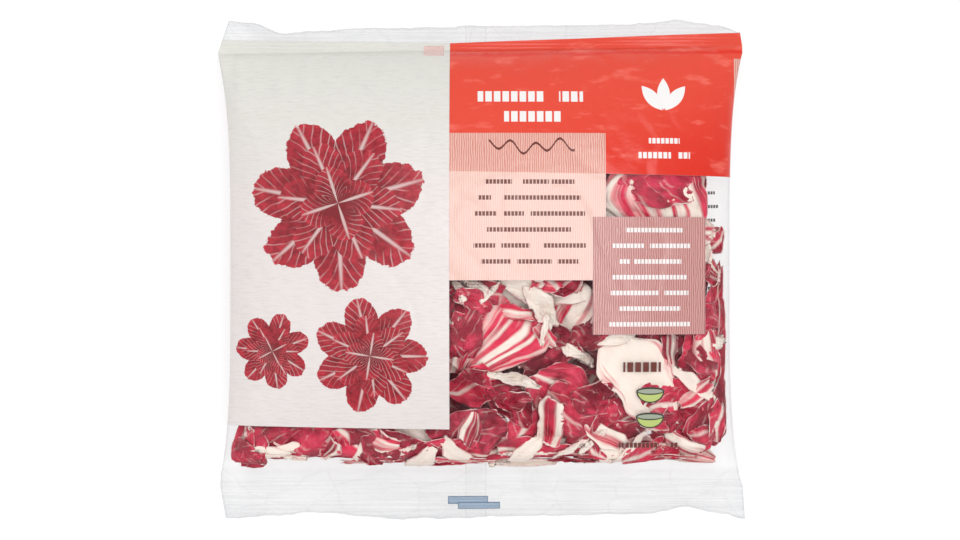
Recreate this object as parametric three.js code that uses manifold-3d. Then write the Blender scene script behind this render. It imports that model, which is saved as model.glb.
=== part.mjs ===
// A sealed pillow bag of cut red radicchio leaves, lying on its back.
// Millimetres, +Z up, +X to the bag's right, +Y towards its top seal. The origin is under the middle
// of the bag, on the surface that it lies on.
import * as THREE from 'three';
import Module from 'manifold-3d';
import { mergeVertices } from 'three/addons/utils/BufferGeometryUtils.js';

const wasm = await Module();
wasm.setup();

// Driving dimensions of the bag. The film is a tube of 250 mm flat width, so a round of 500 mm. Filled,
// its sides pull in to HALF_WIDTH_MIDDLE, and an oval of that width and round is THICKNESS deep.
const HALF_WIDTH_SEAL = 124.5;
const HALF_WIDTH_MIDDLE = 118.2;
const THICKNESS = 48;
const FILM = 0.6;
const SEAM_HEIGHT_END = 14;
const SEAM_HEIGHT_MIDDLE = 18;
const FRONT_RISE = THICKNESS - SEAM_HEIGHT_MIDDLE - FILM;
const BACK_DROP = 22.5;
const SIDE_WALL = 1.0;
const END_WALL = 0.015;

// Where the inside ends at the top and bottom seals. The top seal runs up a little to the right.
const TOP_SEAL_Y = 104.5;
const TOP_SEAL_SLOPE = 0.016;
const BOTTOM_SEAL_Y = -97;

// The cut ends of the film, as [across, along] points from left to right.
const TOP_EDGE = [[-125, 118.5], [-112, 117.8], [-95, 113], [-50, 115], [0, 116], [66, 116.8],
  [95, 118.5], [115, 116.6], [125, 113]];
const BOTTOM_EDGE = [[-125, -118.3], [-76, -115.4], [-40, -118.5], [10, -117.3], [80, -116],
  [98, -112.8], [112, -115.6], [125, -118.3]];
// How much the four corners of the cut ends are drawn in or out, as a share of the half width.
const CORNER_REACH = { topLeft: 0.96, topRight: 0.995, bottomLeft: 0.972, bottomRight: 1.012 };
const SEAL_DROOP = 2.5;
const SEAL_WAVE = 1.5;
const SEAL_WAVE_LENGTH = 72;

// The lap seam down the middle of the back: one edge of the film lies inside the other.
const SEAM_X = -2;
const SEAM_LAP = 10;
const SEAM_GAP = 0.3;

// The stack of leaves. Pieces keep LEAF_GAP apart, and FILM_GAP from the film.
const LEAF = 0.8;
const LEAF_GAP = 0.4;
const FILM_GAP = 0.7;
const CELL = 0.9;
const FLATTER = [1, 0.8, 0.62, 0.46, 0.34, 0.24, 0.14, 0.06, 0.02];
const SMALLER = [1, 0.88, 0.76, 0.62, 0.5];
const FRONT_SHARE = 0.66;
const SIDE_LIMIT = [0.915, 0.947];
const END_LIMIT = [0.885, 0.945];
const LIMIT_EASE = 0.1;

const clamp = (value, low, high) => Math.min(high, Math.max(low, value));
const mix = (low, high, share) => low + (high - low) * share;
const degrees = Math.PI / 180;

// A number from 0 to 1 for the n-th draw of a piece, always the same.
function draw(piece, n) {
  let state = (piece * 7919 + n * 104729 + 12345) | 0;
  state = (state + 0x6d2b79f5) | 0;
  let mixed = Math.imul(state ^ (state >>> 15), 1 | state);
  mixed = (mixed + Math.imul(mixed ^ (mixed >>> 7), 61 | mixed)) ^ mixed;
  return ((mixed ^ (mixed >>> 14)) >>> 0) / 4294967296;
}

// A value on a line of points, eased between them.
function along(points, x) {
  const last = points.length - 1;
  if (x <= points[0][0]) return points[0][1];
  if (x >= points[last][0]) return points[last][1];
  const k = points.findIndex((point) => point[0] > x) - 1;
  const share = (x - points[k][0]) / (points[k + 1][0] - points[k][0]);
  return mix(points[k][1], points[k + 1][1], share * share * (3 - 2 * share));
}

// The bag's shape. across runs from -1 at the left fold to 1 at the right fold, and up from -1 at the
// bottom seal to 1 at the top seal.
const fullness = (up) => Math.max(0, 1 - Math.abs(up) ** 2.8) ** 0.62;
const roundness = (across) => Math.sqrt(Math.max(0, 1 - Math.abs(across) ** 2.2));
const foldHeight = (up) => mix(SEAM_HEIGHT_END, SEAM_HEIGHT_MIDDLE, fullness(up));
const sealLine = (across) => TOP_SEAL_Y + TOP_SEAL_SLOPE * across * HALF_WIDTH_SEAL;
const halfWidth = (y) => mix(HALF_WIDTH_MIDDLE, HALF_WIDTH_SEAL, clamp(Math.abs(y) / 103, 0, 1) ** 4);
const frontRise = (across, up) => FRONT_RISE * fullness(up) * roundness(across);
const backDrop = (across, up) => BACK_DROP * fullness(up) ** 0.8 * roundness(across);

function lengthwise(across, up) {
  return mix(BOTTOM_SEAL_Y, sealLine(across), (up + 1) / 2);
}

function outerFront(across, up) {
  return foldHeight(up) + FILM + frontRise(across, up);
}

function outerBack(across, up) {
  return Math.max(0, foldHeight(up) - FILM - backDrop(across, up));
}

// The faces of the inside over a point of the plan, for laying leaves against them.
function bagAt(x, y) {
  const across = x / halfWidth(y);
  const up = (2 * (y - BOTTOM_SEAL_Y)) / (sealLine(across) - BOTTOM_SEAL_Y) - 1;
  return { across, up };
}

function insideFront(x, y) {
  const { across, up } = bagAt(x, y);
  return foldHeight(up) + frontRise(across, up);
}

function insideBack(x, y) {
  const { across, up } = bagAt(x, y);
  return Math.max(0, foldHeight(up) - FILM - backDrop(across, up)) + FILM;
}

// A closed solid between two grids of points. Both faces are split alike.
function slab(rows, columns, upper, lower) {
  const positions = [];
  const triangle = (a, b, c) => positions.push(...a, ...b, ...c);
  const quad = (a, b, c, d) => {
    triangle(a, b, c);
    triangle(a, c, d);
  };
  for (let i = 0; i < rows; i += 1) {
    for (let j = 0; j < columns; j += 1) {
      quad(upper(i, j), upper(i, j + 1), upper(i + 1, j + 1), upper(i + 1, j));
      triangle(lower(i, j), lower(i + 1, j + 1), lower(i, j + 1));
      triangle(lower(i, j), lower(i + 1, j), lower(i + 1, j + 1));
    }
  }
  for (let j = 0; j < columns; j += 1) {
    quad(lower(0, j), lower(0, j + 1), upper(0, j + 1), upper(0, j));
    quad(upper(rows, j), upper(rows, j + 1), lower(rows, j + 1), lower(rows, j));
  }
  for (let i = 0; i < rows; i += 1) {
    quad(lower(i + 1, 0), lower(i, 0), upper(i, 0), upper(i + 1, 0));
    quad(lower(i, columns), lower(i + 1, columns), upper(i + 1, columns), upper(i, columns));
  }
  return new THREE.BufferGeometry().setAttribute('position', new THREE.Float32BufferAttribute(positions, 3));
}

function solidOf(geometry) {
  const merged = mergeVertices(geometry, 1e-3);
  const corners = merged.index.array;
  const kept = [];
  for (let k = 0; k < corners.length; k += 3) {
    const [a, b, c] = corners.slice(k, k + 3);
    if (a !== b && b !== c && c !== a) kept.push(a, b, c);
  }
  return new wasm.Manifold(new wasm.Mesh({
    numProp: 3,
    vertProperties: merged.getAttribute('position').array,
    triVerts: new Uint32Array(kept),
  }));
}

function geometryOf(solid) {
  const { vertProperties, triVerts } = solid.getMesh();
  const geometry = new THREE.BufferGeometry();
  geometry.setAttribute('position', new THREE.BufferAttribute(vertProperties, 3));
  geometry.setIndex(new THREE.BufferAttribute(triVerts, 1));
  geometry.computeVertexNormals();
  return geometry;
}

// The film. Grid lines crowd towards the folds and the seals, where it curves most.
const FILM_COLUMNS = 26;
const BODY_ROWS = 20;
const SEAL_ROWS = 2;
const crowded = (share) => Math.sin((clamp(share, -1, 1) * Math.PI) / 2);
const columnAt = (j) => mix((2 * j) / FILM_COLUMNS - 1, crowded((2 * j) / FILM_COLUMNS - 1), 0.8);
const rowAt = (i) => mix((2 * i) / BODY_ROWS - 1, crowded((2 * i) / BODY_ROWS - 1), 0.6);

// A point of the seal: out runs from 0 at the inside's end to 1 at the cut edge.
function sealPoint(across, out, top) {
  const start = top ? sealLine(across) : BOTTOM_SEAL_Y;
  const end = along(top ? TOP_EDGE : BOTTOM_EDGE, across * HALF_WIDTH_SEAL);
  const reach = CORNER_REACH[(top ? 'top' : 'bottom') + (across < 0 ? 'Left' : 'Right')];
  const corner = mix(1, reach, Math.abs(across) ** 6 * out);
  const phase = (across * HALF_WIDTH_SEAL * 2 * Math.PI) / SEAL_WAVE_LENGTH;
  const wave = SEAL_WAVE * Math.sin(phase + (top ? 0.6 : 2.4));
  return [
    across * halfWidth(mix(start, end, out)) * corner,
    mix(start, end, out),
    SEAM_HEIGHT_END + out * (wave - SEAL_DROOP),
  ];
}

function filmOutside() {
  const point = (i, j, side) => {
    const across = columnAt(j);
    if (i < SEAL_ROWS || i > SEAL_ROWS + BODY_ROWS) {
      const top = i > SEAL_ROWS;
      const out = (top ? i - SEAL_ROWS - BODY_ROWS : SEAL_ROWS - i) / SEAL_ROWS;
      const [x, y, z] = sealPoint(across, out, top);
      return [x, y, z + side * FILM];
    }
    const up = rowAt(i - SEAL_ROWS);
    const y = lengthwise(across, up);
    return [across * halfWidth(y), y, side > 0 ? outerFront(across, up) : outerBack(across, up)];
  };
  const rows = BODY_ROWS + 2 * SEAL_ROWS;
  return slab(rows, FILM_COLUMNS, (i, j) => point(i, j, 1), (i, j) => point(i, j, -1));
}

// A corner of the inside's front (1) or back (-1) face.
function insidePoint(i, j, side) {
  const across = columnAt(j);
  const up = rowAt(i);
  const y = lengthwise(across, up * (1 - END_WALL));
  const x = across * (halfWidth(y) - SIDE_WALL);
  return [x, y, side > 0 ? outerFront(across, up) - FILM : outerBack(across, up) + FILM];
}

function filmInside() {
  return slab(BODY_ROWS, FILM_COLUMNS, (i, j) => insidePoint(i, j, 1), (i, j) => insidePoint(i, j, -1));
}

// A bar that follows the back of the bag along the seam, between two heights over its outer face.
function backBar(left, right, low, high, inset) {
  const point = (i, x, height) => {
    const up = rowAt(i) * (1 - inset);
    return [x, lengthwise(0, up), outerBack(SEAM_X / HALF_WIDTH_MIDDLE, up) + height];
  };
  return solidOf(slab(
    BODY_ROWS,
    1,
    (i, j) => point(i, j ? right : left, high),
    (i, j) => point(i, j ? right : left, low),
  ));
}

function filmSolid() {
  const lapLeft = SEAM_X - SEAM_LAP / 2;
  const lapRight = SEAM_X + SEAM_LAP / 2;
  const innerPly = backBar(lapLeft, lapRight + 1, -1, 2 * FILM + SEAM_GAP, 0);
  const cavity = solidOf(filmInside()).subtract(innerPly);
  const gap = backBar(lapLeft - 0.4, lapRight, FILM, FILM + SEAM_GAP, 0.05);
  const mouth = backBar(lapRight - SEAM_GAP, lapRight, -1, FILM + SEAM_GAP, 0.05);
  return solidOf(filmOutside()).subtract(cavity).subtract(gap).subtract(mouth);
}

// The kinds of cut piece. rib is how thick the white rib stands over the blade, ribs how many there are
// across it, wave the height of the ruffled edge, and cells its grid along and across.
const KINDS = {
  blade: { ribs: 1, rib: 0.9, ribWidth: 0.22, wave: 2.2, cells: [7, 6], thick: LEAF },
  fan: { ribs: 3, rib: 1.0, ribWidth: 0.5, wave: 0.7, cells: [5, 8], thick: LEAF },
  rib: { ribs: 0, rib: 2.4, ribWidth: 1, wave: 0, cells: [6, 6], thick: 1.1 },
  strip: { ribs: 0, rib: 0.9, ribWidth: 1, wave: 0, cells: [8, 4], thick: 1.1 },
};

// The pieces behind the clear part of the front, the ones nearest the film first. Each is its kind,
// its middle [x, y], its length and width, the way its rib points in degrees, and how it bends: the
// radius (negative where its middle is the far side) and the turn of the bend from the rib.
const SEEN = [
  ['rib', 76, -53, 54, 31, -58, 70, 80],
  ['rib', 100, -58, 40, 10, -28, 60, 0],
  ['fan', 7, -32, 44, 38, 52, 30, 90],
  ['blade', -12, -30, 46, 30, 86, 26, 90],
  ['blade', 59, -74, 38, 32, 24, 22, 60],
  ['blade', 40, -60, 34, 28, -40, 24, 20],
  ['blade', 30, -38, 32, 26, 35, -20, 70],
  ['strip', 19, -57, 36, 6, -4, 90, 0],
  ['fan', 46, -21, 34, 26, 62, 22, 90],
  ['rib', 20, -9, 46, 22, -10, 50, 80],
  ['blade', 108, -34, 46, 26, 76, 24, 80],
  ['blade', 90, -28, 32, 26, 60, -28, 30],
  ['blade', 104, -74, 42, 27, 68, 24, 70],
  ['rib', 65, -84, 22, 16, 78, 30, 90],
  ['rib', 39, -86, 38, 13, 12, 60, 20],
  ['blade', 22, -70, 27, 17, 72, 16, 90],
  ['blade', -4, -77, 36, 26, 18, -26, 50],
  ['blade', 84, -83, 26, 13, 5, 30, 70],
  ['fan', 84, 38, 32, 54, -86, 60, 90],
  ['rib', 76, 24, 50, 22, -6, 70, 85],
  ['blade', 105, -6, 36, 20, 80, 26, 80],
  ['rib', 108, 17, 26, 13, 6, 40, 80],
  ['rib', -97, -86, 34, 11, -28, 30, 10],
  ['blade', -108, -80, 30, 20, 70, 20, 80],
  ['blade', -80, -79, 36, 28, 10, 60, 30],
  ['blade', -51, -80, 34, 28, -44, 30, 80],
  ['rib', -27, -78, 36, 15, -32, 40, 90],
  ['blade', 12, -86, 34, 16, 14, 24, 80],
  ['blade', -56, -87, 42, 13, 4, 30, 90],
];

// Where more pieces lie against the front behind the print, and where the ones against the back lie,
// each moved a little at random.
const UNDER_PRINT = [
  [-92, 72], [-40, 76], [-94, 26], [-44, 28], [-92, -22],
  [-46, -26], [6, 30], [40, 64], [-60, 50], [64, -8],
];
const AGAINST_BACK = [
  [-88, 74], [-45, 74], [0, 74], [45, 74], [88, 74],
  [-88, 33], [-40, 50], [0, 33], [45, 33], [88, 33],
  [-88, -9], [-58, -4], [0, -9], [45, -9], [88, -9],
  [-88, -52], [-52, -48], [0, -52], [45, -52], [76, -44],
];
const SCATTER = 7;
const RANDOM_KINDS = ['blade', 'blade', 'rib', 'blade', 'fan'];

function seenPiece([kind, x, y, length, width, heading, radius, turn], seed) {
  return { kind, x, y, length, width, heading, radius, turn, seed, front: true };
}

function scatteredPiece([x, y], seed, front) {
  const kind = RANDOM_KINDS[seed % RANDOM_KINDS.length];
  const size = mix(50, 64, draw(seed, 1));
  return {
    kind,
    x: x + SCATTER * (2 * draw(seed, 2) - 1),
    y: y + SCATTER * (2 * draw(seed, 3) - 1),
    length: size,
    width: size * mix(0.62, 0.84, draw(seed, 4)) * (kind === 'rib' ? 0.6 : 1),
    heading: 180 * draw(seed, 5),
    radius: mix(45, 90, draw(seed, 6)) * (draw(seed, 7) < 0.5 ? -1 : 1),
    turn: 180 * draw(seed, 8),
    seed,
    front,
  };
}

// A point of the middle of a piece's thickness, flat in the plan and bent, before it is laid in the bag.
// a runs along its rib and b across it, both from -1 to 1.
function middleOf(piece, flatter, a, b) {
  const kind = KINDS[piece.kind];
  const skew = 0.3 * (draw(piece.seed, 11) - 0.5);
  const taper = 0.5 * (draw(piece.seed, 12) - 0.5);
  const endCut = 0.13 * Math.sin(2.3 * b + 6.28 * draw(piece.seed, 13));
  const sideCut = 0.1 * Math.sin(2.9 * a + 6.28 * draw(piece.seed, 14));
  const lengthOf = (piece.length / 2) * (a + endCut);
  const half = (piece.width / 2) * (1 + taper * a) * (1 - 0.2 * a ** 4);
  const acrossOf = half * (b + sideCut) + skew * lengthOf;
  const cosine = Math.cos(piece.turn * degrees);
  const sine = Math.sin(piece.turn * degrees);
  const round = lengthOf * sine + acrossOf * cosine;
  const level = lengthOf * cosine - acrossOf * sine;
  const bend = flatter / piece.radius;
  const dip = (1 - Math.cos(bend * round)) / bend;
  const cup = (flatter * level * level) / (6 * Math.abs(piece.radius));
  const edge = kind.wave * flatter * b * b * Math.sin(lengthOf / 2.7 + 6.28 * draw(piece.seed, 15));
  const shifted = Math.sin(bend * round) / bend;
  return [
    shifted * sine + level * cosine,
    shifted * cosine - level * sine,
    -dip - cup + edge,
  ];
}

function thicknessOf(piece, flatter, a, b) {
  const kind = KINDS[piece.kind];
  const stands = kind.rib * mix(0.4, 1, flatter);
  if (kind.ribs === 0) return kind.thick + stands * (1 - b * b) * (1 - 0.5 * a * a);
  const place = ((b + 1) / 2) * (kind.ribs + 1);
  const near = Math.min(1, Math.abs(place - Math.round(clamp(place, 1, kind.ribs))) / kind.ribWidth);
  return kind.thick + stands * (1 - near) * (1 - 0.35 * a);
}

// A point on a piece's upper (1) or lower (-1) face, its rib standing out below.
function facePoint(piece, flatter, a, b, side) {
  const step = 0.01;
  const middle = middleOf(piece, flatter, a, b);
  const ahead = middleOf(piece, flatter, a + step, b);
  const beside = middleOf(piece, flatter, a, b + step);
  const normal = new THREE.Vector3(ahead[0] - middle[0], ahead[1] - middle[1], ahead[2] - middle[2])
    .cross(new THREE.Vector3(beside[0] - middle[0], beside[1] - middle[1], beside[2] - middle[2]))
    .normalize();
  const { thick } = KINDS[piece.kind];
  const offset = side > 0 ? thick / 2 : thick / 2 - thicknessOf(piece, flatter, a, b);
  return [0, 1, 2].map((k) => middle[k] + normal.getComponent(k) * offset);
}

function eased(value, most) {
  const past = (Math.abs(value) - most + LIMIT_EASE) / LIMIT_EASE;
  return past <= 0 ? value : Math.sign(value) * (most - LIMIT_EASE * (1 - Math.tanh(past)));
}

// Turns a face point into the bag's plan, kept off the folds and seals, with its height still loose.
function planPoint(piece, point) {
  const cosine = Math.cos(piece.heading * degrees);
  const sine = Math.sin(piece.heading * degrees);
  const x = piece.x + cosine * point[0] - sine * point[1];
  const y = piece.y + sine * point[0] + cosine * point[1];
  const { across, up } = bagAt(x, y);
  const acrossKept = eased(across, mix(...SIDE_LIMIT, draw(piece.seed, 16)));
  const yKept = lengthwise(acrossKept, eased(up, mix(...END_LIMIT, draw(piece.seed, 17))));
  return [acrossKept * halfWidth(yKept), yKept, point[2]];
}

// Calls visit(x, y, z, i, j) for points all over a grid of facets, split as slab splits them. i and j
// are the facet's own row and column.
function overFacets(rows, columns, corner, visit) {
  for (let i = 0; i < rows; i += 1) {
    for (let j = 0; j < columns; j += 1) {
      const near = corner(i, j);
      const right = corner(i, j + 1);
      const far = corner(i + 1, j + 1);
      const left = corner(i + 1, j);
      const rising = Math.hypot(far[0] - near[0], far[1] - near[1]);
      const falling = Math.hypot(right[0] - left[0], right[1] - left[1]);
      const steps = Math.ceil(Math.max(rising, falling) / (0.6 * CELL)) + 1;
      for (let m = 0; m <= steps; m += 1) {
        for (let n = 0; n <= steps; n += 1) {
          const u = m / steps;
          const v = n / steps;
          const [side, most, least] = v <= u ? [right, u, v] : [left, v, u];
          const between = (k) => near[k] + most * (side[k] - near[k]) + least * (far[k] - side[k]);
          const [x, y, z] = [0, 1, 2].map(between);
          visit(x, y, z, i, j);
        }
      }
    }
  }
}

// One half of the bag, filled from the film inwards. Levels are heights turned so that they grow away
// from the film. Each piece lies as near the film as the ones before it allow, and hangs over them like
// cloth, flattened until it stays on its own side of the middle.
const GRID_COLUMNS = 280;
const GRID_ROWS = 240;
const rowOf = (y) => Math.round(y / CELL) + GRID_ROWS / 2;
const cellOf = (x, y) => rowOf(y) * GRID_COLUMNS + Math.round(x / CELL) + GRID_COLUMNS / 2;
const AROUND = [-1, 0, 1].flatMap((row) => [-1, 0, 1].map((column) => row * GRID_COLUMNS + column));

function filmLevels(side) {
  const levels = new Float64Array(GRID_COLUMNS * GRID_ROWS).fill(-Infinity);
  overFacets(BODY_ROWS, FILM_COLUMNS, (i, j) => insidePoint(i, j, side), (x, y, z) => {
    const overSeam = side < 0 && Math.abs(x - SEAM_X) < SEAM_LAP / 2 + 2;
    const level = -side * z + (overSeam ? FILM + SEAM_GAP : 0);
    const cell = cellOf(x, y);
    levels[cell] = Math.max(levels[cell], level);
  });
  return levels;
}

class Heap {
  constructor(front) {
    this.side = front ? 1 : -1;
    const share = front ? FRONT_SHARE : 1 - FRONT_SHARE;
    const near = filmLevels(this.side);
    const far = filmLevels(-this.side);
    this.filled = near.map((level) => level + FILM_GAP - LEAF_GAP);
    this.limit = near.map((level, cell) => mix(level, -far[cell], share) - LEAF_GAP / 2);
  }

  lay(piece) {
    const nearest = (_, cell) => Math.max(...AROUND.map((step) => this.filled[cell + step] ?? -Infinity));
    this.near = this.filled.map(nearest);
    for (const size of SMALLER) {
      for (const flatter of FLATTER) {
        const laid = this.hang({ ...piece, length: piece.length * size, width: piece.width * size, flatter });
        if (laid) return laid;
      }
    }
    throw new Error(`no room for piece ${piece.seed}`);
  }

  // Hangs a piece over what lies there already. Returns nothing where that passes the middle.
  hang(piece) {
    const [columns, rows] = KINDS[piece.kind].cells;
    const faces = [1, -1].map((side) => cornersOf(piece, side, columns, rows));
    const level = ([x, y, z]) => [x, y, -this.side * z];
    const needed = new Float64Array((rows + 1) * (columns + 1)).fill(-Infinity);
    const cornerOf = (i, j) => i * (columns + 1) + j;
    for (const face of faces) {
      overFacets(rows, columns, (i, j) => level(face[cornerOf(i, j)]), (x, y, at, i, j) => {
        const need = this.near[cellOf(x, y)] + LEAF_GAP - at;
        for (const [row, column] of [[i, j], [i, j + 1], [i + 1, j], [i + 1, j + 1]]) {
          const corner = cornerOf(row, column);
          needed[corner] = Math.max(needed[corner], need);
        }
      });
    }
    const depths = hungOver(needed, rows, columns);
    const hung = faces.map((face) => face.map(([x, y, z], k) => [x, y, z - this.side * depths[k]]));
    const reached = new Map();
    for (const face of hung) {
      overFacets(rows, columns, (i, j) => level(face[cornerOf(i, j)]), (x, y, at) => {
        const cell = cellOf(x, y);
        reached.set(cell, Math.max(reached.get(cell) ?? -Infinity, at));
      });
    }
    for (const [cell, at] of reached) {
      if (!(at <= this.limit[cell])) return null;
    }
    for (const [cell, at] of reached) {
      this.filled[cell] = Math.max(this.filled[cell], at);
    }
    return { ...piece, faces: hung };
  }
}

// Smooths the depths that a piece needs at its corners, without lifting it anywhere.
function hungOver(needed, rows, columns) {
  let depths = needed;
  for (let round = 0; round < 3; round += 1) {
    const before = depths;
    depths = before.map((_, k) => {
      const row = Math.floor(k / (columns + 1));
      const column = k % (columns + 1);
      let sum = 0;
      for (const i of [row - 1, row, row + 1]) {
        for (const j of [column - 1, column, column + 1]) {
          sum += before[clamp(i, 0, rows) * (columns + 1) + clamp(j, 0, columns)];
        }
      }
      return Math.max(needed[k], sum / 9);
    });
  }
  return depths;
}

// The corners of a piece's face against the film, before it is moved inwards.
function cornersOf(piece, side, columns, rows) {
  const corners = [];
  for (let i = 0; i <= rows; i += 1) {
    for (let j = 0; j <= columns; j += 1) {
      const face = facePoint(piece, piece.flatter, (2 * j) / columns - 1, (2 * i) / rows - 1, side);
      const [x, y, height] = planPoint(piece, face);
      corners.push([x, y, (piece.front ? insideFront(x, y) : insideBack(x, y)) + height]);
    }
  }
  return corners;
}

function leafGeometry(piece) {
  const [columns, rows] = KINDS[piece.kind].cells;
  const [upper, lower] = piece.faces;
  const geometry = slab(
    rows,
    columns,
    (i, j) => upper[i * (columns + 1) + j],
    (i, j) => lower[i * (columns + 1) + j],
  );
  geometry.computeVertexNormals();
  return geometry;
}

// Colours, from the photograph.
const filmFinish = new THREE.MeshStandardMaterial({
  color: 0xeceae6, roughness: 0.25, metalness: 0, transparent: true, opacity: 0.35,
});
const redLeaf = new THREE.MeshStandardMaterial({ color: 0xa83248, roughness: 0.5, metalness: 0 });
const stripedLeaf = new THREE.MeshStandardMaterial({ color: 0xc98088, roughness: 0.5, metalness: 0 });
const whiteRib = new THREE.MeshStandardMaterial({ color: 0xf0e8dc, roughness: 0.45, metalness: 0 });
const FINISHES = { blade: redLeaf, fan: stripedLeaf, rib: whiteRib, strip: whiteRib };
const NAMES = { blade: 'leaf_blade', fan: 'ribbed_blade', rib: 'white_rib', strip: 'rib_strip' };

function heapPieces() {
  const seen = SEEN.map((row, k) => seenPiece(row, k + 1));
  const hidden = UNDER_PRINT.map((place, k) => scatteredPiece(place, 41 + k, true));
  const behind = AGAINST_BACK.map((place, k) => scatteredPiece(place, 61 + k, false));
  const front = new Heap(true);
  const back = new Heap(false);
  return [...seen, ...hidden].map((piece) => front.lay(piece))
    .concat(behind.map((piece) => back.lay(piece)));
}

const bag = new THREE.Group();
const film = new THREE.Mesh(geometryOf(filmSolid()), filmFinish);
film.name = 'film_bag';
bag.add(film);
for (const piece of heapPieces()) {
  const mesh = new THREE.Mesh(leafGeometry(piece), FINISHES[piece.kind]);
  mesh.name = `${NAMES[piece.kind]}_${String(piece.seed).padStart(2, '0')}`;
  bag.add(mesh);
}

export default bag;
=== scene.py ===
"""A sealed film bag of cut radicchio leaves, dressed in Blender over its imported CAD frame."""

import logging
import math
from dataclasses import dataclass, field
from enum import Enum

import bpy
import numpy as np
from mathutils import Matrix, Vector, noise

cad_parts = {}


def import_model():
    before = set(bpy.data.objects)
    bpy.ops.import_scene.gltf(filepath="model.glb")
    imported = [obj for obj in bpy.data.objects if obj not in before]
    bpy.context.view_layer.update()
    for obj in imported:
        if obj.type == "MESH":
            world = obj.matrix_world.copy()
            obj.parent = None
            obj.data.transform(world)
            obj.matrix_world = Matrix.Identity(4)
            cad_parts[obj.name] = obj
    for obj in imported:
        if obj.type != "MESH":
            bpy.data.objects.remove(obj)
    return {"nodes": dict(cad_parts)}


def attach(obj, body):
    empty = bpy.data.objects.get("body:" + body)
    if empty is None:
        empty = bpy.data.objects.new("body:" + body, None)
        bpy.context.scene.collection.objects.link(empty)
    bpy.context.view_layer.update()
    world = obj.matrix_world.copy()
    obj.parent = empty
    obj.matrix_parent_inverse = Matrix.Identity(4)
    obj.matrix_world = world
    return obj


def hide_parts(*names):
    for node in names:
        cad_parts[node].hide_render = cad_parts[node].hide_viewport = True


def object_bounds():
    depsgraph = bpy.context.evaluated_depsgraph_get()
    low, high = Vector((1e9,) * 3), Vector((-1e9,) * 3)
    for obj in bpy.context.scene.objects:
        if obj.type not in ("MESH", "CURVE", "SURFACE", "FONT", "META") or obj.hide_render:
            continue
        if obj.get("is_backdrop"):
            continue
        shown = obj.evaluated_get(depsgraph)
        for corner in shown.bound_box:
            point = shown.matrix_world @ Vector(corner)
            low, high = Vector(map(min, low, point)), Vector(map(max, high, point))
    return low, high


log = logging.getLogger("bag")

MM = 0.001

# The numbers that the random draws start from, as in the part's source.
WORD = 0xFFFFFFFF
SEED_STEP = 7919
DRAW_STEP = 104729
DRAW_START = 12345 + 0x6D2B79F5

Grid = np.ndarray
Colour = tuple[float, float, float]
Area = tuple[float, float, float, float]


def mix(low: float | Grid, high: float | Grid, share: float | Grid) -> float | Grid:
    """Return the value that lies at share of the way from low to high."""
    return low + (high - low) * share


def smooth(low: float, high: float, value: float | Grid) -> float | Grid:
    """Return 0 below low, 1 above high and an eased value between them."""
    share = np.clip((value - low) / (high - low), 0.0, 1.0)
    return share * share * (3.0 - 2.0 * share)


def draw(seed: int, n: int) -> float:
    """Return the n-th random number of a piece, from 0 to 1, the same as in the part's source."""
    state = (seed * SEED_STEP + n * DRAW_STEP + DRAW_START) & WORD
    mixed = ((state ^ (state >> 15)) * (1 | state)) & WORD
    mixed = (mixed + (mixed ^ (mixed >> 7)) * (61 | mixed)) & WORD ^ mixed
    return ((mixed ^ (mixed >> 14)) & WORD) / (WORD + 1)


def rough(x: Grid, y: Grid, seed: float, scale_x: float, scale_y: float | None = None) -> Grid:
    """Return smooth noise over a grid of places.

    Args:
        x: First coordinate of each place, in millimetres.
        y: Second coordinate of each place, in millimetres.
        seed: Where in the noise the pattern is taken from.
        scale_x: Size of the pattern along x, in millimetres.
        scale_y: Size of the pattern along y, where it isn't the same.

    Returns:
        Values from about -1 to 1, in the shape of x.
    """
    across = (x / scale_x).ravel()
    along = (y / (scale_y or scale_x)).ravel()
    values = [noise.noise((a, b, seed)) for a, b in zip(across.tolist(), along.tolist())]
    return np.array(values).reshape(x.shape)


def eased_line(points: tuple[tuple[float, float], ...], x: Grid) -> Grid:
    """Return the height of a line of points at each x, eased between the points."""
    places = np.array([point[0] for point in points])
    heights = np.array([point[1] for point in points])
    k = np.clip(np.searchsorted(places, x, side="right") - 1, 0, len(points) - 2)
    share = smooth(0.0, 1.0, (x - places[k]) / (places[k + 1] - places[k]))
    return mix(heights[k], heights[k + 1], share)


class Side(Enum):
    """The two faces of the bag, with the way that each one looks."""

    FRONT = 1
    BACK = -1


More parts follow.
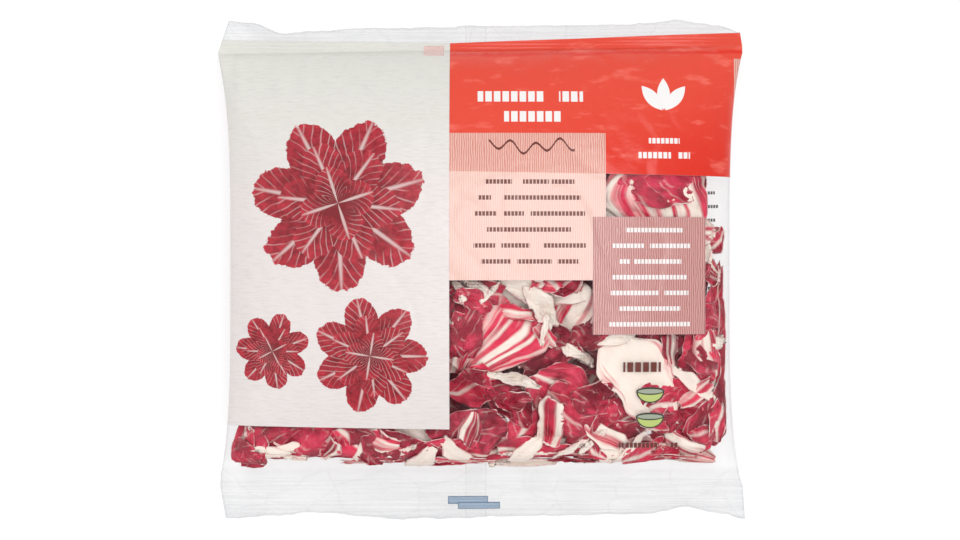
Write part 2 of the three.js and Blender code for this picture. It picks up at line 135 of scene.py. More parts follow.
@dataclass(frozen=True)
class BagForm:
    """The shape of the filled bag, in millimetres, as in the part's source.

    Attributes:
        half_width_seal: Half the width at the seals.
        half_width_middle: Half the width where the filling pulls the sides in.
        film: Thickness of the CAD film.
        fold_height_end: Height of the side folds at the seals.
        fold_height_middle: Height of the side folds in the middle.
        front_rise: How far the front stands above the folds.
        back_drop: How far the back hangs below them.
        top_seal_y: Where the top seal starts.
        top_seal_slope: How much it rises to the right.
        bottom_seal_y: Where the bottom seal starts.
        seal_droop: How far the cut edges hang down.
        seal_wave: Height of their waves.
        seal_wave_length: Length of their waves.
        widening_ends_at: How far along the bag its width stops growing.
        end_fall: Power by which the bag falls off towards its seals.
        end_ease: Power that rounds that fall.
        fold_fall: Power by which it falls off towards its folds.
        back_ease: Power that fills the back out.
        seam_x: Middle of the lap seam.
        seam_lap: Width of the lap.
    """

    half_width_seal: float = 124.5
    half_width_middle: float = 118.2
    film: float = 0.6
    fold_height_end: float = 14.0
    fold_height_middle: float = 18.0
    front_rise: float = 29.4
    back_drop: float = 22.5
    top_seal_y: float = 104.5
    top_seal_slope: float = 0.016
    bottom_seal_y: float = -97.0
    seal_droop: float = 2.5
    seal_wave: float = 1.5
    seal_wave_length: float = 72.0
    widening_ends_at: float = 103.0
    end_fall: float = 2.8
    end_ease: float = 0.62
    fold_fall: float = 2.2
    back_ease: float = 0.8
    seam_x: float = -2.0
    seam_lap: float = 10.0

    def fullness(self, up: Grid) -> Grid:
        """Return how full the bag is along its length, 1 in the middle and 0 at the seals."""
        return np.maximum(0.0, 1.0 - np.abs(up) ** self.end_fall) ** self.end_ease

    def roundness(self, across: Grid) -> Grid:
        """Return how far the film stands out across the bag, 1 in the middle and 0 at the folds."""
        return np.sqrt(np.maximum(0.0, 1.0 - np.abs(across) ** self.fold_fall))

    def fold_height(self, up: Grid) -> Grid:
        """Return the height of the side folds."""
        return mix(self.fold_height_end, self.fold_height_middle, self.fullness(up))

    def seal_line(self, across: Grid) -> Grid:
        """Return where the top seal starts."""
        return self.top_seal_y + self.top_seal_slope * across * self.half_width_seal

    def half_width(self, y: Grid) -> Grid:
        """Return half the bag's width at a place along it."""
        share = np.clip(np.abs(y) / self.widening_ends_at, 0.0, 1.0) ** 4
        return mix(self.half_width_middle, self.half_width_seal, share)

    def lengthwise(self, across: Grid, up: Grid) -> Grid:
        """Return the y of a place between the seals."""
        return mix(self.bottom_seal_y, self.seal_line(across), (up + 1.0) / 2.0)

    def at(self, x: Grid, y: Grid) -> tuple[Grid, Grid]:
        """Return how far across and up the bag a place of the plan is, each from -1 to 1."""
        across = x / self.half_width(y)
        up = 2.0 * (y - self.bottom_seal_y) / (self.seal_line(across) - self.bottom_seal_y) - 1.0
        return across, up

    def inside(self, side: Side, x: Grid, y: Grid) -> Grid:
        """Return the height of the film's inner face over places of the plan."""
        across, up = self.at(x, y)
        if side is Side.FRONT:
            return self.fold_height(up) + self.front_rise * self.fullness(up) * self.roundness(across)
        drop = self.back_drop * self.fullness(up) ** self.back_ease * self.roundness(across)
        return np.maximum(0.0, self.fold_height(up) - self.film - drop) + self.film


BAG = BagForm()


class Value:
    """A number socket of a material, whose sums and products add Math nodes."""

    def __init__(self, shader: "Shader", socket: bpy.types.NodeSocket) -> None:
        """Keep the socket and the shader that it belongs to."""
        self.shader = shader
        self.socket = socket

    def math(self, operation: str, *others: "Value | float") -> "Value":
        """Return a new value from a Math node."""
        return self.shader.math(operation, self, *others)

    def __add__(self, other: "Value | float") -> "Value":
        """Return the sum."""
        return self.math("ADD", other)

    def __radd__(self, other: float) -> "Value":
        """Return the sum."""
        return self.math("ADD", other)

    def __sub__(self, other: "Value | float") -> "Value":
        """Return the difference."""
        return self.math("SUBTRACT", other)

    def __rsub__(self, other: float) -> "Value":
        """Return the difference from a plain number."""
        return self.shader.math("SUBTRACT", other, self)

    def __mul__(self, other: "Value | float") -> "Value":
        """Return the product."""
        return self.math("MULTIPLY", other)

    def __rmul__(self, other: float) -> "Value":
        """Return the product."""
        return self.math("MULTIPLY", other)

    def __truediv__(self, other: "Value | float") -> "Value":
        """Return the quotient."""
        return self.math("DIVIDE", other)

    def __pow__(self, other: float) -> "Value":
        """Return the power."""
        return self.math("POWER", other)

    def __abs__(self) -> "Value":
        """Return the value without its sign."""
        return self.math("ABSOLUTE")

    def least(self, other: "Value | float") -> "Value":
        """Return the lower of two values."""
        return self.math("MINIMUM", other)

    def most(self, other: "Value | float") -> "Value":
        """Return the higher of two values."""
        return self.math("MAXIMUM", other)

    def step(self, low: float, high: float) -> "Value":
        """Return 0 below low, 1 above high and an eased value between them."""
        return self.shader.step(self, low, high)


class Shader:
    """A material's node tree, built from expressions."""

    def __init__(self, name: str) -> None:
        """Start a material that holds one Principled shader."""
        self.material = bpy.data.materials.new(name)
        self.material.use_nodes = True
        self.nodes = self.material.node_tree.nodes
        self.links = self.material.node_tree.links
        self.principled = self.nodes["Principled BSDF"]

    def node(self, kind: str, settings: dict | None = None, **inputs: object) -> bpy.types.Node:
        """Add a node.

        Args:
            kind: The node's type name.
            settings: Its properties, set before its sockets.
            inputs: Sockets by name, with underscores for spaces, or by number after an "n".

        Returns:
            The new node.
        """
        made = self.nodes.new(kind)
        for key, value in (settings or {}).items():
            setattr(made, key, value)
        for key, value in inputs.items():
            number = key[1:]
            socket = made.inputs[int(number) if number.isdigit() else key.replace("_", " ")]
            self.put(socket, value)
        return made

    def put(self, socket: bpy.types.NodeSocket, value: object) -> None:
        """Link a value or another socket to a socket, or set it to a constant."""
        if isinstance(value, Value):
            self.links.new(value.socket, socket)
        elif isinstance(value, bpy.types.NodeSocket):
            self.links.new(value, socket)
        elif isinstance(value, tuple) and len(value) == 3 and socket.type == "RGBA":
            socket.default_value = (*value, 1.0)
        else:
            socket.default_value = value

    def math(self, operation: str, *values: "Value | float") -> Value:
        """Return the result of a Math node."""
        inputs = {f"n{k}": value for k, value in enumerate(values)}
        return Value(self, self.node("ShaderNodeMath", {"operation": operation}, **inputs).outputs[0])

    def step(self, value: Value, low: float, high: float) -> Value:
        """Return an eased step of a value from 0 at low to 1 at high."""
        settings = {"interpolation_type": "SMOOTHSTEP"}
        made = self.node("ShaderNodeMapRange", settings, n0=value, n1=low, n2=high)
        return Value(self, made.outputs[0])

    def blend(self, low: object, high: object, share: Value | float) -> bpy.types.NodeSocket:
        """Return a mix of two colours."""
        made = self.node("ShaderNodeMix", {"data_type": "RGBA"}, n0=share, n6=low, n7=high)
        return made.outputs[2]

    def plane(self, name: str) -> tuple[Value, Value, bpy.types.NodeSocket]:
        """Return a UV map's two coordinates and the pair of them as a vector."""
        socket = self.node("ShaderNodeUVMap", {"uv_map": name}).outputs[0]
        parts = self.node("ShaderNodeSeparateXYZ", n0=socket)
        return Value(self, parts.outputs[0]), Value(self, parts.outputs[1]), socket

    def place(self, x: object, y: object, z: object = 0.0) -> bpy.types.NodeSocket:
        """Return a vector of three values."""
        return self.node("ShaderNodeCombineXYZ", n0=x, n1=y, n2=z).outputs[0]

    def attribute(self, name: str) -> Value:
        """Return a number that the mesh holds."""
        return Value(self, self.node("ShaderNodeAttribute", {"attribute_name": name}).outputs["Fac"])

    def clouds(self, vector: object, scale: float, detail: float = 2.0, roughness: float = 0.5) -> Value:
        """Return noise around 0.5 at a vector."""
        sockets = {"Vector": vector, "Scale": scale, "Detail": detail, "Roughness": roughness}
        return Value(self, self.node("ShaderNodeTexNoise", **sockets).outputs["Fac"])

    def network(self, vector: object, scale: float) -> Value:
        """Return how far a place is from the borders of random cells."""
        settings = {"feature": "DISTANCE_TO_EDGE"}
        made = self.node("ShaderNodeTexVoronoi", settings, Vector=vector, Scale=scale)
        return Value(self, made.outputs["Distance"])

    def bump(self, height: Value, strength: float, distance: float) -> bpy.types.NodeSocket:
        """Return a normal that a height field roughens."""
        sockets = {"Height": height, "Strength": strength, "Distance": distance}
        return self.node("ShaderNodeBump", **sockets).outputs[0]

    def finish(self, **inputs: object) -> bpy.types.Material:
        """Set the Principled shader's sockets and return the material."""
        for key, value in inputs.items():
            self.put(self.principled.inputs[key.replace("_", " ")], value)
        return self.material


def select_only(piece: bpy.types.Object) -> None:
    """Select one object and nothing else."""
    bpy.ops.object.select_all(action="DESELECT")
    piece.select_set(True)
    bpy.context.view_layer.objects.active = piece


def grid_sheet(name: str, points: Grid, plane: Grid) -> bpy.types.Object:
    """Make a sheet from a primitive grid.

    Args:
        name: Name of the new object.
        points: Its corners as an array of rows, columns and 3, in millimetres.
        plane: The UV place of each corner, in millimetres.

    Returns:
        The new object, its faces looking the way that columns and then rows turn about.
    """
    rows, columns = points.shape[:2]
    bpy.ops.object.select_all(action="DESELECT")
    bpy.ops.mesh.primitive_grid_add(x_subdivisions=columns - 1, y_subdivisions=rows - 1, size=1.0)
    sheet = bpy.context.object
    sheet.name = name
    mesh = sheet.data
    mesh.name = name
    mesh.vertices.foreach_set("co", (points * MM).ravel())
    corners = np.empty(len(mesh.loops), dtype=np.int32)
    mesh.loops.foreach_get("vertex_index", corners)
    mesh.uv_layers[0].name = "sheet"
    mesh.uv_layers[0].data.foreach_set("uv", plane.reshape(-1, 2)[corners].ravel())
    mesh.update()
    return sheet


def thicken(sheet: bpy.types.Object, thickness: float, shares: Grid | None = None, rim: int = 0) -> None:
    """Give a sheet a wall behind its face, with the modifier applied.

    Args:
        sheet: The object to thicken.
        thickness: The thickest place, in millimetres.
        shares: Share of that thickness at each vertex, where it varies.
        rim: How many material slots further on the cut edge's own material is.
    """
    wall = sheet.modifiers.new("wall", "SOLIDIFY")
    wall.thickness = thickness * MM
    wall.offset = -1.0
    wall.use_even_offset = False
    wall.material_offset_rim = rim
    if shares is not None:
        group = sheet.vertex_groups.new(name="wall")
        for k, share in enumerate(shares.ravel().tolist()):
            group.add([k], share, "REPLACE")
        wall.vertex_group = "wall"
    select_only(sheet)
    bpy.ops.object.modifier_apply(modifier="wall")
    bpy.ops.object.shade_smooth()


def hold_number(piece: bpy.types.Object, name: str, values: Grid | float) -> None:
    """Store a number at each vertex of a piece."""
    mesh = piece.data
    spread = np.broadcast_to(np.asarray(values, dtype=np.float32), (len(mesh.vertices),)).copy()
    mesh.attributes.new(name, "FLOAT", "POINT").data.foreach_set("value", spread)


class Cut(Enum):
    """The kinds of cut piece."""

    BLADE = "blade"
    FAN = "fan"
    RIB = "rib"
    STRIP = "strip"


Skins = dict[Cut, bpy.types.Material]


@dataclass(frozen=True)
class CutForm:
    """How a kind of cut piece is built, in millimetres.

    Attributes:
        node: The start of its CAD nodes' names.
        slot: Its material slot, which is not used here.
        ribs: How many ribs a blade has.
        rib: How far a rib stands out.
        rib_width: Half a rib's width, as a share of the space between ribs.
        wave: How far its sides are waved.
        cells: The coarse grid's cells along and across.
        thick: Thickness of the CAD blade.
        sheet: Thickness of the fine blade.
        ruffle: How far the fine blade is ruffled.
        outline: Its width along its length, as shares of both.
    """

    node: str
    slot: str
    ribs: int
    rib: float
    rib_width: float
    wave: float
    cells: tuple[int, int]
    thick: float
    sheet: float
    ruffle: float
    outline: tuple[tuple[float, float], ...]


FORMS = {
    Cut.BLADE: CutForm(
        node="leaf_blade",
        slot="red_leaf",
        ribs=1,
        rib=0.9,
        rib_width=0.22,
        wave=2.2,
        cells=(7, 6),
        thick=0.8,
        sheet=0.45,
        ruffle=2.2,
        outline=((-1, 0.8), (-0.3, 1), (1, 0.72)),
    ),
    Cut.FAN: CutForm(
        node="ribbed_blade",
        slot="red_leaf",
        ribs=3,
        rib=1.0,
        rib_width=0.5,
        wave=0.7,
        cells=(5, 8),
        thick=0.8,
        sheet=0.5,
        ruffle=1.3,
        outline=((-1, 0.7), (0.4, 1), (1, 0.95)),
    ),
    Cut.RIB: CutForm(
        node="white_rib",
        slot="white_rib",
        ribs=0,
        rib=2.4,
        rib_width=1.0,
        wave=0.0,
        cells=(6, 6),
        thick=1.1,
        sheet=0.9,
        ruffle=0.6,
        outline=((-1, 0.62), (-0.3, 1), (1, 0.5)),
    ),
    Cut.STRIP: CutForm(
        node="rib_strip",
        slot="white_rib",
        ribs=0,
        rib=0.9,
        rib_width=1.0,
        wave=0.0,
        cells=(8, 4),
        thick=1.1,
        sheet=0.7,
        ruffle=0.4,
        outline=((-1, 0.5), (0, 1), (1, 0.6)),
    ),
}

# How flat, and how much smaller, a piece may have been laid to fit.
FLATTER = (1, 0.8, 0.62, 0.46, 0.34, 0.24, 0.14, 0.06, 0.02)
SMALLER = (1, 0.88, 0.76, 0.62, 0.5)
LIMIT_EASE = 0.1

# How uneven a cut piece is before it is laid, as in the part's source.
SKEW = 0.3
TAPER = 0.5
NARROWER_ENDS = 0.2
END_CUT = 0.13
SIDE_CUT = 0.1
WAVE_STEP = 2.7
ROUND = 6.28

# A fit is better by this much, corners this near are the same, and a piece this far off is reported.
BETTER_BY = 1e-4
SAME_CORNER = 0.02
OFF_NODE = 0.1

# How wide the pale rim beside a cut edge is, in millimetres.
RIM_WIDTH = 1.2


def eased(value: Grid, most: float) -> Grid:
    """Keep values under a limit, easing them near it."""
    past = np.maximum(0.0, (np.abs(value) - most + LIMIT_EASE) / LIMIT_EASE)
    kept = np.minimum(np.abs(value), most - LIMIT_EASE) + LIMIT_EASE * np.tanh(past)
    return np.sign(value) * kept


@dataclass(frozen=True)
class Crumple:
    """How a fine leaf differs from its coarse CAD form, in millimetres.

    Attributes:
        torn_by: How far its ends and sides are torn.
        torn_ends: Size of the torn pattern at the ends.
        torn_sides: Size of the torn pattern at the sides.
        laid_flat: Share of the ruffles that is left when a piece is laid flat.
        ruffles: Size of the ruffles.
        folds: Size of the folds along and across.
        fold_depth: Depth of the folds, as a share of the ruffles.
        blisters: Size of the blisters.
        blister_height: Height of the blisters, as a share of the ruffles.
        groove_depth: Depth of the groove down a rib.
        groove_width: Width of that groove.
        groove_wander: How far that groove wanders.
        standing: How far relief may stand out before it is pressed down by the film.
    """

    torn_by: float = 3.0
    torn_ends: float = 4.5
    torn_sides: float = 5.0
    laid_flat: float = 0.45
    ruffles: float = 5.5
    folds: tuple[float, float] = (22.0, 9.0)
    fold_depth: float = 0.9
    blisters: float = 2.3
    blister_height: float = 0.4
    groove_depth: float = 0.9
    groove_width: float = 1.6
    groove_wander: float = 1.5
    standing: float = 0.2


CRUMPLE = Crumple()


@dataclass
class LeafPiece:
    """One cut piece of leaf, laid where its CAD node is and finished finely.

    Attributes:
        cut: Its kind.
        x: Place of its middle across the bag, in millimetres.
        y: Place of its middle along the bag.
        length: Its length along its rib.
        width: Its width.
        heading: The way that its rib points, in degrees.
        radius: Radius of its bend, below zero where it bends up.
        turn: Angle of the bend to the rib.
        seed: Number of its random draws.
        side: The face of the bag that it lies against.
        flatter: The share of its bend that it keeps.
        cells_along: Cells of its fine grid along the rib.
        cells_across: Cells of its fine grid across it.
        side_limit: How near the side folds it may come, as a share, at least and at most.
        end_limit: How near the seals it may come.
        outline: Its own outline, in place of its kind's.
    """

    cut: Cut
    x: float
    y: float
    length: float
    width: float
    heading: float
    radius: float
    turn: float
    seed: int
    side: Side
    flatter: float = 1.0
    cells_along: int = 58
    cells_across: int = 44
    side_limit: tuple[float, float] = (0.915, 0.947)
    end_limit: tuple[float, float] = (0.885, 0.945)
    outline: tuple[tuple[float, float], ...] | None = None

    @property
    def name(self) -> str:
        """The name of the piece's CAD node."""
        return f"{FORMS[self.cut].node}_{self.seed:02d}"

    def middle(self, a: Grid, b: Grid) -> Grid:
        """Return the middle of the piece's thickness before it is laid.

        Args:
            a: Places along the rib, from -1 to 1.
            b: Places across it, from -1 to 1.

        Returns:
            Points in millimetres, with their three coordinates last.
        """
        form = FORMS[self.cut]
        skew = SKEW * (draw(self.seed, 11) - 0.5)
        taper = TAPER * (draw(self.seed, 12) - 0.5)
        end_cut = END_CUT * np.sin(2.3 * b + ROUND * draw(self.seed, 13))
        side_cut = SIDE_CUT * np.sin(2.9 * a + ROUND * draw(self.seed, 14))
        along = self.length / 2.0 * (a + end_cut)
        half = self.width / 2.0 * (1.0 + taper * a) * (1.0 - NARROWER_ENDS * a**4)
        across = half * (b + side_cut) + skew * along
        cosine = math.cos(math.radians(self.turn))
        sine = math.sin(math.radians(self.turn))
        curved = along * sine + across * cosine
        level = along * cosine - across * sine
        bend = self.flatter / self.radius
        dip = (1.0 - np.cos(bend * curved)) / bend
        cup = self.flatter * level * level / (6.0 * abs(self.radius))
        edge = form.wave * self.flatter * b * b * np.sin(along / WAVE_STEP + ROUND * draw(self.seed, 15))
        shifted = np.sin(bend * curved) / bend
        x = shifted * sine + level * cosine
        y = shifted * cosine - level * sine
        return np.stack([x, y, edge - dip - cup], -1)

    def thickness(self, a: Grid, b: Grid, thick: float) -> Grid:
        """Return the piece's thickness, with its ribs, over a blade of the given thickness."""
        form = FORMS[self.cut]
        stands = form.rib * mix(0.4, 1.0, self.flatter)
        if form.ribs == 0:
            return thick + stands * (1.0 - b * b) * (1.0 - 0.5 * a * a)
        place = (b + 1.0) / 2.0 * (form.ribs + 1)
        near = np.abs(place - np.round(np.clip(place, 1, form.ribs))) / form.rib_width
        return thick + stands * (1.0 - np.minimum(1.0, near)) * (1.0 - 0.35 * a)

    def face(self, a: Grid, b: Grid) -> Grid:
        """Return points on the piece's upper face before it is laid."""
        step = 0.01
        middle = self.middle(a, b)
        normal = np.cross(self.middle(a + step, b) - middle, self.middle(a, b + step) - middle)
        normal /= np.linalg.norm(normal, axis=-1, keepdims=True)
        return middle + normal * (FORMS[self.cut].thick / 2.0)

    def plan(self, points: Grid) -> Grid:
        """Turn points of a face into the bag's plan, kept off its folds and seals."""
        cosine = math.cos(math.radians(self.heading))
        sine = math.sin(math.radians(self.heading))
        x = self.x + cosine * points[..., 0] - sine * points[..., 1]
        y = self.y + sine * points[..., 0] + cosine * points[..., 1]
        across, up = BAG.at(x, y)
        across = eased(across, mix(*self.side_limit, draw(self.seed, 16)))
        y = BAG.lengthwise(across, eased(up, mix(*self.end_limit, draw(self.seed, 17))))
        return np.stack([across * BAG.half_width(y), y, points[..., 2]], -1)

    def corners(self) -> tuple[Grid, Grid]:
        """Return the places of the coarse grid that the CAD solid was built on."""
        columns, rows = FORMS[self.cut].cells
        a, b = np.meshgrid(np.linspace(-1, 1, columns + 1), np.linspace(-1, 1, rows + 1))
        return a, b

    def places(self) -> tuple[Grid, Grid]:
        """Return the places of the fine grid."""
        along = np.linspace(-1, 1, self.cells_along + 1)
        across = np.linspace(-1, 1, self.cells_across + 1)
        a, b = np.meshgrid(along, across)
        return a, b

    def fit(self, node: bpy.types.Object) -> Grid:
        """Find how the CAD solid was laid.

        Args:
            node: The piece's CAD node.

        Returns:
            How deep under the film each corner of the coarse grid lies, in millimetres.
        """
        solid = np.empty(len(node.data.vertices) * 3)
        node.data.vertices.foreach_get("co", solid)
        solid = solid.reshape(-1, 3) / MM
        a, b = self.corners()
        size = (self.length, self.width)
        best = None
        for share in SMALLER:
            for flatter in FLATTER:
                self.length, self.width, self.flatter = size[0] * share, size[1] * share, flatter
                points = self.plan(self.face(a, b)).reshape(-1, 3)
                away = np.linalg.norm(points[:, None, :2] - solid[None, :, :2], axis=-1)
                error = away.min(axis=1).max()
                if best is None or error < best[0] - BETTER_BY:
                    best = (error, share, flatter)
        error, share, self.flatter = best
        self.length, self.width = size[0] * share, size[1] * share
        points = self.plan(self.face(a, b)).reshape(-1, 3)
        away = np.linalg.norm(points[:, None, :2] - solid[None, :, :2], axis=-1)
        heights = np.where(away < error + SAME_CORNER, solid[None, :, 2], -np.inf).max(axis=1)
        if error > OFF_NODE:
            log.warning("%s is %.2f mm off its node", self.name, error)
        base = BAG.inside(self.side, points[:, 0], points[:, 1])
        return (self.side.value * (base + points[:, 2] - heights)).reshape(a.shape)

    def shape(self, depths: Grid) -> tuple[Grid, Grid, Grid]:
        """Return the fine sheet's corners, their UV places and the wall's share of thickness."""
        points, relief = self.ruffled()
        base = BAG.inside(self.side, points[..., 0], points[..., 1])
        points[..., 2] += base - self.side.value * (self.spread(depths) - relief)
        return points, self.flat(), self.shares()

    def ruffled(self) -> tuple[Grid, Grid]:
        """Return the fine upper face before it is laid, and how far it is crumpled towards the film."""
        form = FORMS[self.cut]
        a, b = self.places()
        along = a * self.length / 2.0
        across = b * self.width / 2.0
        ragged = rough(across, along, self.seed + 0.3, CRUMPLE.torn_ends) * smooth(0.5, 1.0, np.abs(a))
        torn = rough(along, across, self.seed + 0.6, CRUMPLE.torn_sides) * smooth(0.5, 1.0, np.abs(b))
        share = eased_line(self.outline or form.outline, a)
        end = a + CRUMPLE.torn_by * ragged / self.length
        side = b * share + CRUMPLE.torn_by * torn / self.width
        points = self.plan(self.face(end, side))
        rim = smooth(0.3, 1.0, np.maximum(np.abs(a), np.abs(b)))
        strength = form.ruffle * mix(CRUMPLE.laid_flat, 1.0, self.flatter)
        ruffle = strength * (0.35 + rim) * rough(along, across, self.seed + 1.7, CRUMPLE.ruffles)
        creases = np.abs(rough(along, across, self.seed + 4.1, *CRUMPLE.folds))
        fold = -CRUMPLE.fold_depth * strength * np.maximum(0.0, 1.0 - 5.0 * creases)
        blister = CRUMPLE.blister_height * strength * rough(along, across, self.seed + 2.9, CRUMPLE.blisters)
        relief = ruffle + blister + fold
        if self.cut is Cut.RIB:
            wandering = CRUMPLE.groove_wander * rough(along, across, self.seed + 5.3, 16.0)
            bent = np.abs(across - 0.12 * self.width - wandering)
            groove = CRUMPLE.groove_depth * np.exp(-bent / CRUMPLE.groove_width)
            relief -= groove * (0.4 + 0.6 * smooth(-0.6, 0.2, a))
        standing = CRUMPLE.standing
        return points, np.where(relief > standing, standing + 0.25 * (relief - standing), relief)

    def flat(self) -> Grid:
        """Return the fine grid's places on the flat leaf, in millimetres."""
        a, b = self.places()
        return np.stack([a * self.length / 2.0, b * self.width / 2.0], -1)

    def shares(self) -> Grid:
        """Return the wall's share of the greatest thickness, over the fine grid."""
        form = FORMS[self.cut]
        a, b = self.places()
        return np.clip(self.thickness(a, b, form.sheet) / (form.sheet + form.rib), 0.05, 1.0)

    def spread(self, depths: Grid) -> Grid:
        """Spread the coarse grid's depths smoothly over the fine one."""
        rows = np.linspace(0, depths.shape[0] - 1, self.cells_across + 1)
        columns = np.linspace(0, depths.shape[1] - 1, self.cells_along + 1)
        return cubic(cubic(depths, rows).T, columns).T

    def make(self, node: bpy.types.Object, skins: Skins, edge: bpy.types.Material) -> Grid:
        """Build the piece, dress it and put it in its CAD node's place.

        Args:
            node: The CAD node.
            skins: The skin of each kind of piece.
            edge: The finish of cut edges.

        Returns:
            The points of its upper face, in millimetres.
        """
        points, plane, shares = self.shape(self.fit(node))
        piece = grid_sheet(f"cut_{self.name}", points, plane)
        self.dress(piece, shares, skins, edge)
        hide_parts(node.name)
        return points

    def dress(self, piece: bpy.types.Object, shares: Grid, skins: Skins, edge: bpy.types.Material) -> None:
        """Give a piece its materials, the numbers that they read, and its thickness."""
        form = FORMS[self.cut]
        piece.data.materials.append(skins[self.cut])
        piece.data.materials.append(edge)
        a, b = self.places()
        inward = np.minimum((1.0 - np.abs(a)) * self.length, (1.0 - np.abs(b)) * self.width) / 2.0
        hold_number(piece, "rim", np.clip(1.0 - inward / RIM_WIDTH, 0.0, 1.0).ravel())
        thicken(piece, form.sheet + form.rib, shares, rim=1)
        hold_number(piece, "tone", draw(self.seed, 21))
        hold_number(piece, "half_width", self.width / 2.0)
        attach(piece, "root")


def cubic(values: Grid, places: Grid) -> Grid:
    """Return rows of values between the given ones, on a smooth curve through them."""
    low = np.clip(np.floor(places).astype(int), 0, len(values) - 2)
    t = (places - low)[:, None]
    row = {k: values[np.clip(low + k, 0, len(values) - 1)] for k in (-1, 0, 1, 2)}
    start = (row[1] - row[-1]) / 2.0
    end = (row[2] - row[0]) / 2.0
    rise = row[1] - row[0]
    return row[0] + t * (start + t * (3.0 * rise - 2.0 * start - end + t * (start + end - 2.0 * rise)))


@dataclass(frozen=True)
class LeafFinish:
    """The skin of one kind of cut piece: red between veins, and white along its ribs."""

    cut: Cut
    deep: Colour = (0.22, 0.004, 0.019)
    bright: Colour = (0.68, 0.020, 0.070)
    dull: Colour = (0.54, 0.048, 0.098)
    white: Colour = (0.83, 0.76, 0.67)
    blush: Colour = (0.72, 0.40, 0.40)
    lip: Colour = (0.78, 0.50, 0.49)

    def veins(self, shader: Shader, u: Value, v: Value, waver: Value) -> Value:
        """Return where the side veins and their fine network run, from 0 to 1."""
        curl = shader.clouds(shader.place(u, v), 0.16, 2.0)
        leaning = shader.place(u * 0.08 - abs(v) * 0.09 + waver * 0.8 + curl * 0.5, v * 0.05 + waver * 0.5)
        large = 1.0 - shader.network(leaning, 1.0).step(0.0, 0.05)
        small = 1.0 - shader.network(shader.place(u + waver * 9.0, v + curl * 6.0), 0.4).step(0.0, 0.09)
        return (large * curl.step(0.4, 0.62) * 0.3).most(small * 0.03)

    def whiteness(self, shader: Shader, u: Value, v: Value, waver: Value, tone: Value) -> Value:
        """Return how white the skin is, from 0 to 1."""
        side = abs(v) / shader.attribute("half_width")
        if self.cut is Cut.BLADE:
            width = (u + 22.0).step(-30.0, 40.0) * -1.6 + 2.1
            midrib = 1.0 - (abs(v + waver * 6.0 - 3.0) - width).step(-0.7, 1.1)
            return (midrib * tone.step(0.5, 0.58) * 0.9).most(self.veins(shader, u, v, waver))
        if self.cut is Cut.FAN:
            fan = v / (1.0 + u * 0.012) + waver * 3.0
            broad = shader.clouds(shader.place(u * 0.015, fan * 0.2, tone * 7.0), 1.0, 1.0)
            thin = shader.clouds(shader.place(u * 0.03, fan * 0.75, tone * 3.0), 1.0, 2.0)
            return broad.step(0.43, 0.58).most(thin.step(0.5, 0.7) * 0.6)
        streak = shader.clouds(shader.place(u * 0.05, v * 0.5), 1.0, 3.0) - 0.5
        if self.cut is Cut.STRIP:
            return 1.0 - (side + streak).step(0.75, 1.2) * 0.5
        return 1.0 - (side + streak * 1.3).step(0.8, 1.15) * 0.75

    def make(self) -> bpy.types.Material:
        """Return the material."""
        shader = Shader(f"{self.cut.value}_skin")
        u, v, plane = shader.plane("sheet")
        tone = shader.attribute("tone")
        waver = shader.clouds(shader.place(u, v, tone * 90.0), 0.07, 2.0)
        blotch = shader.clouds(shader.place(u, v, tone * 50.0), 0.11, 3.0, 0.6)
        fibre = shader.clouds(shader.place(u * 0.09, v * 1.3, tone * 20.0), 1.0, 2.0)
        white = self.whiteness(shader, u, v, waver, tone)
        red = shader.blend(self.deep, self.bright, (blotch - 0.5) * 2.8 + tone * 0.9 + (fibre - 0.5) * 0.8)
        red = shader.blend(red, self.dull, blotch.step(0.5, 0.72) * 0.6)
        pith = shader.blend(self.white, self.blush, fibre.step(0.52, 0.8) * 0.2 + blotch.step(0.5, 0.8) * 0.2)
        colour = shader.blend(red, pith, white * 0.92)
        lip = shader.attribute("rim").step(0.6, 1.0) * blotch.step(0.35, 0.55)
        colour = shader.blend(colour, self.lip, lip * 0.55)
        grain = shader.clouds(plane, 1.3, 2.0, 0.6)
        height = white * 0.5 + grain * 0.4 + blotch * 0.6 + fibre * 0.5
        return shader.finish(
            Base_Color=colour,
            Roughness=0.4 - white * 0.06 + grain * 0.12,
            Normal=shader.bump(height, 0.6, 0.0007),
            Specular_IOR_Level=0.22,
        )


@dataclass(frozen=True)
class CutEdgeFinish:
    """The wet pale flesh on a leaf's cut edge."""

    flesh: Colour = (0.74, 0.42, 0.42)
    pith: Colour = (0.80, 0.72, 0.65)

    def make(self) -> bpy.types.Material:
        """Return the material."""
        shader = Shader("cut_edge")
        _, _, plane = shader.plane("sheet")
        cells = shader.clouds(plane, 0.6, 3.0)
        colour = shader.blend(self.flesh, self.pith, cells.step(0.35, 0.65))
        return shader.finish(Base_Color=colour, Roughness=0.35 + cells * 0.1)


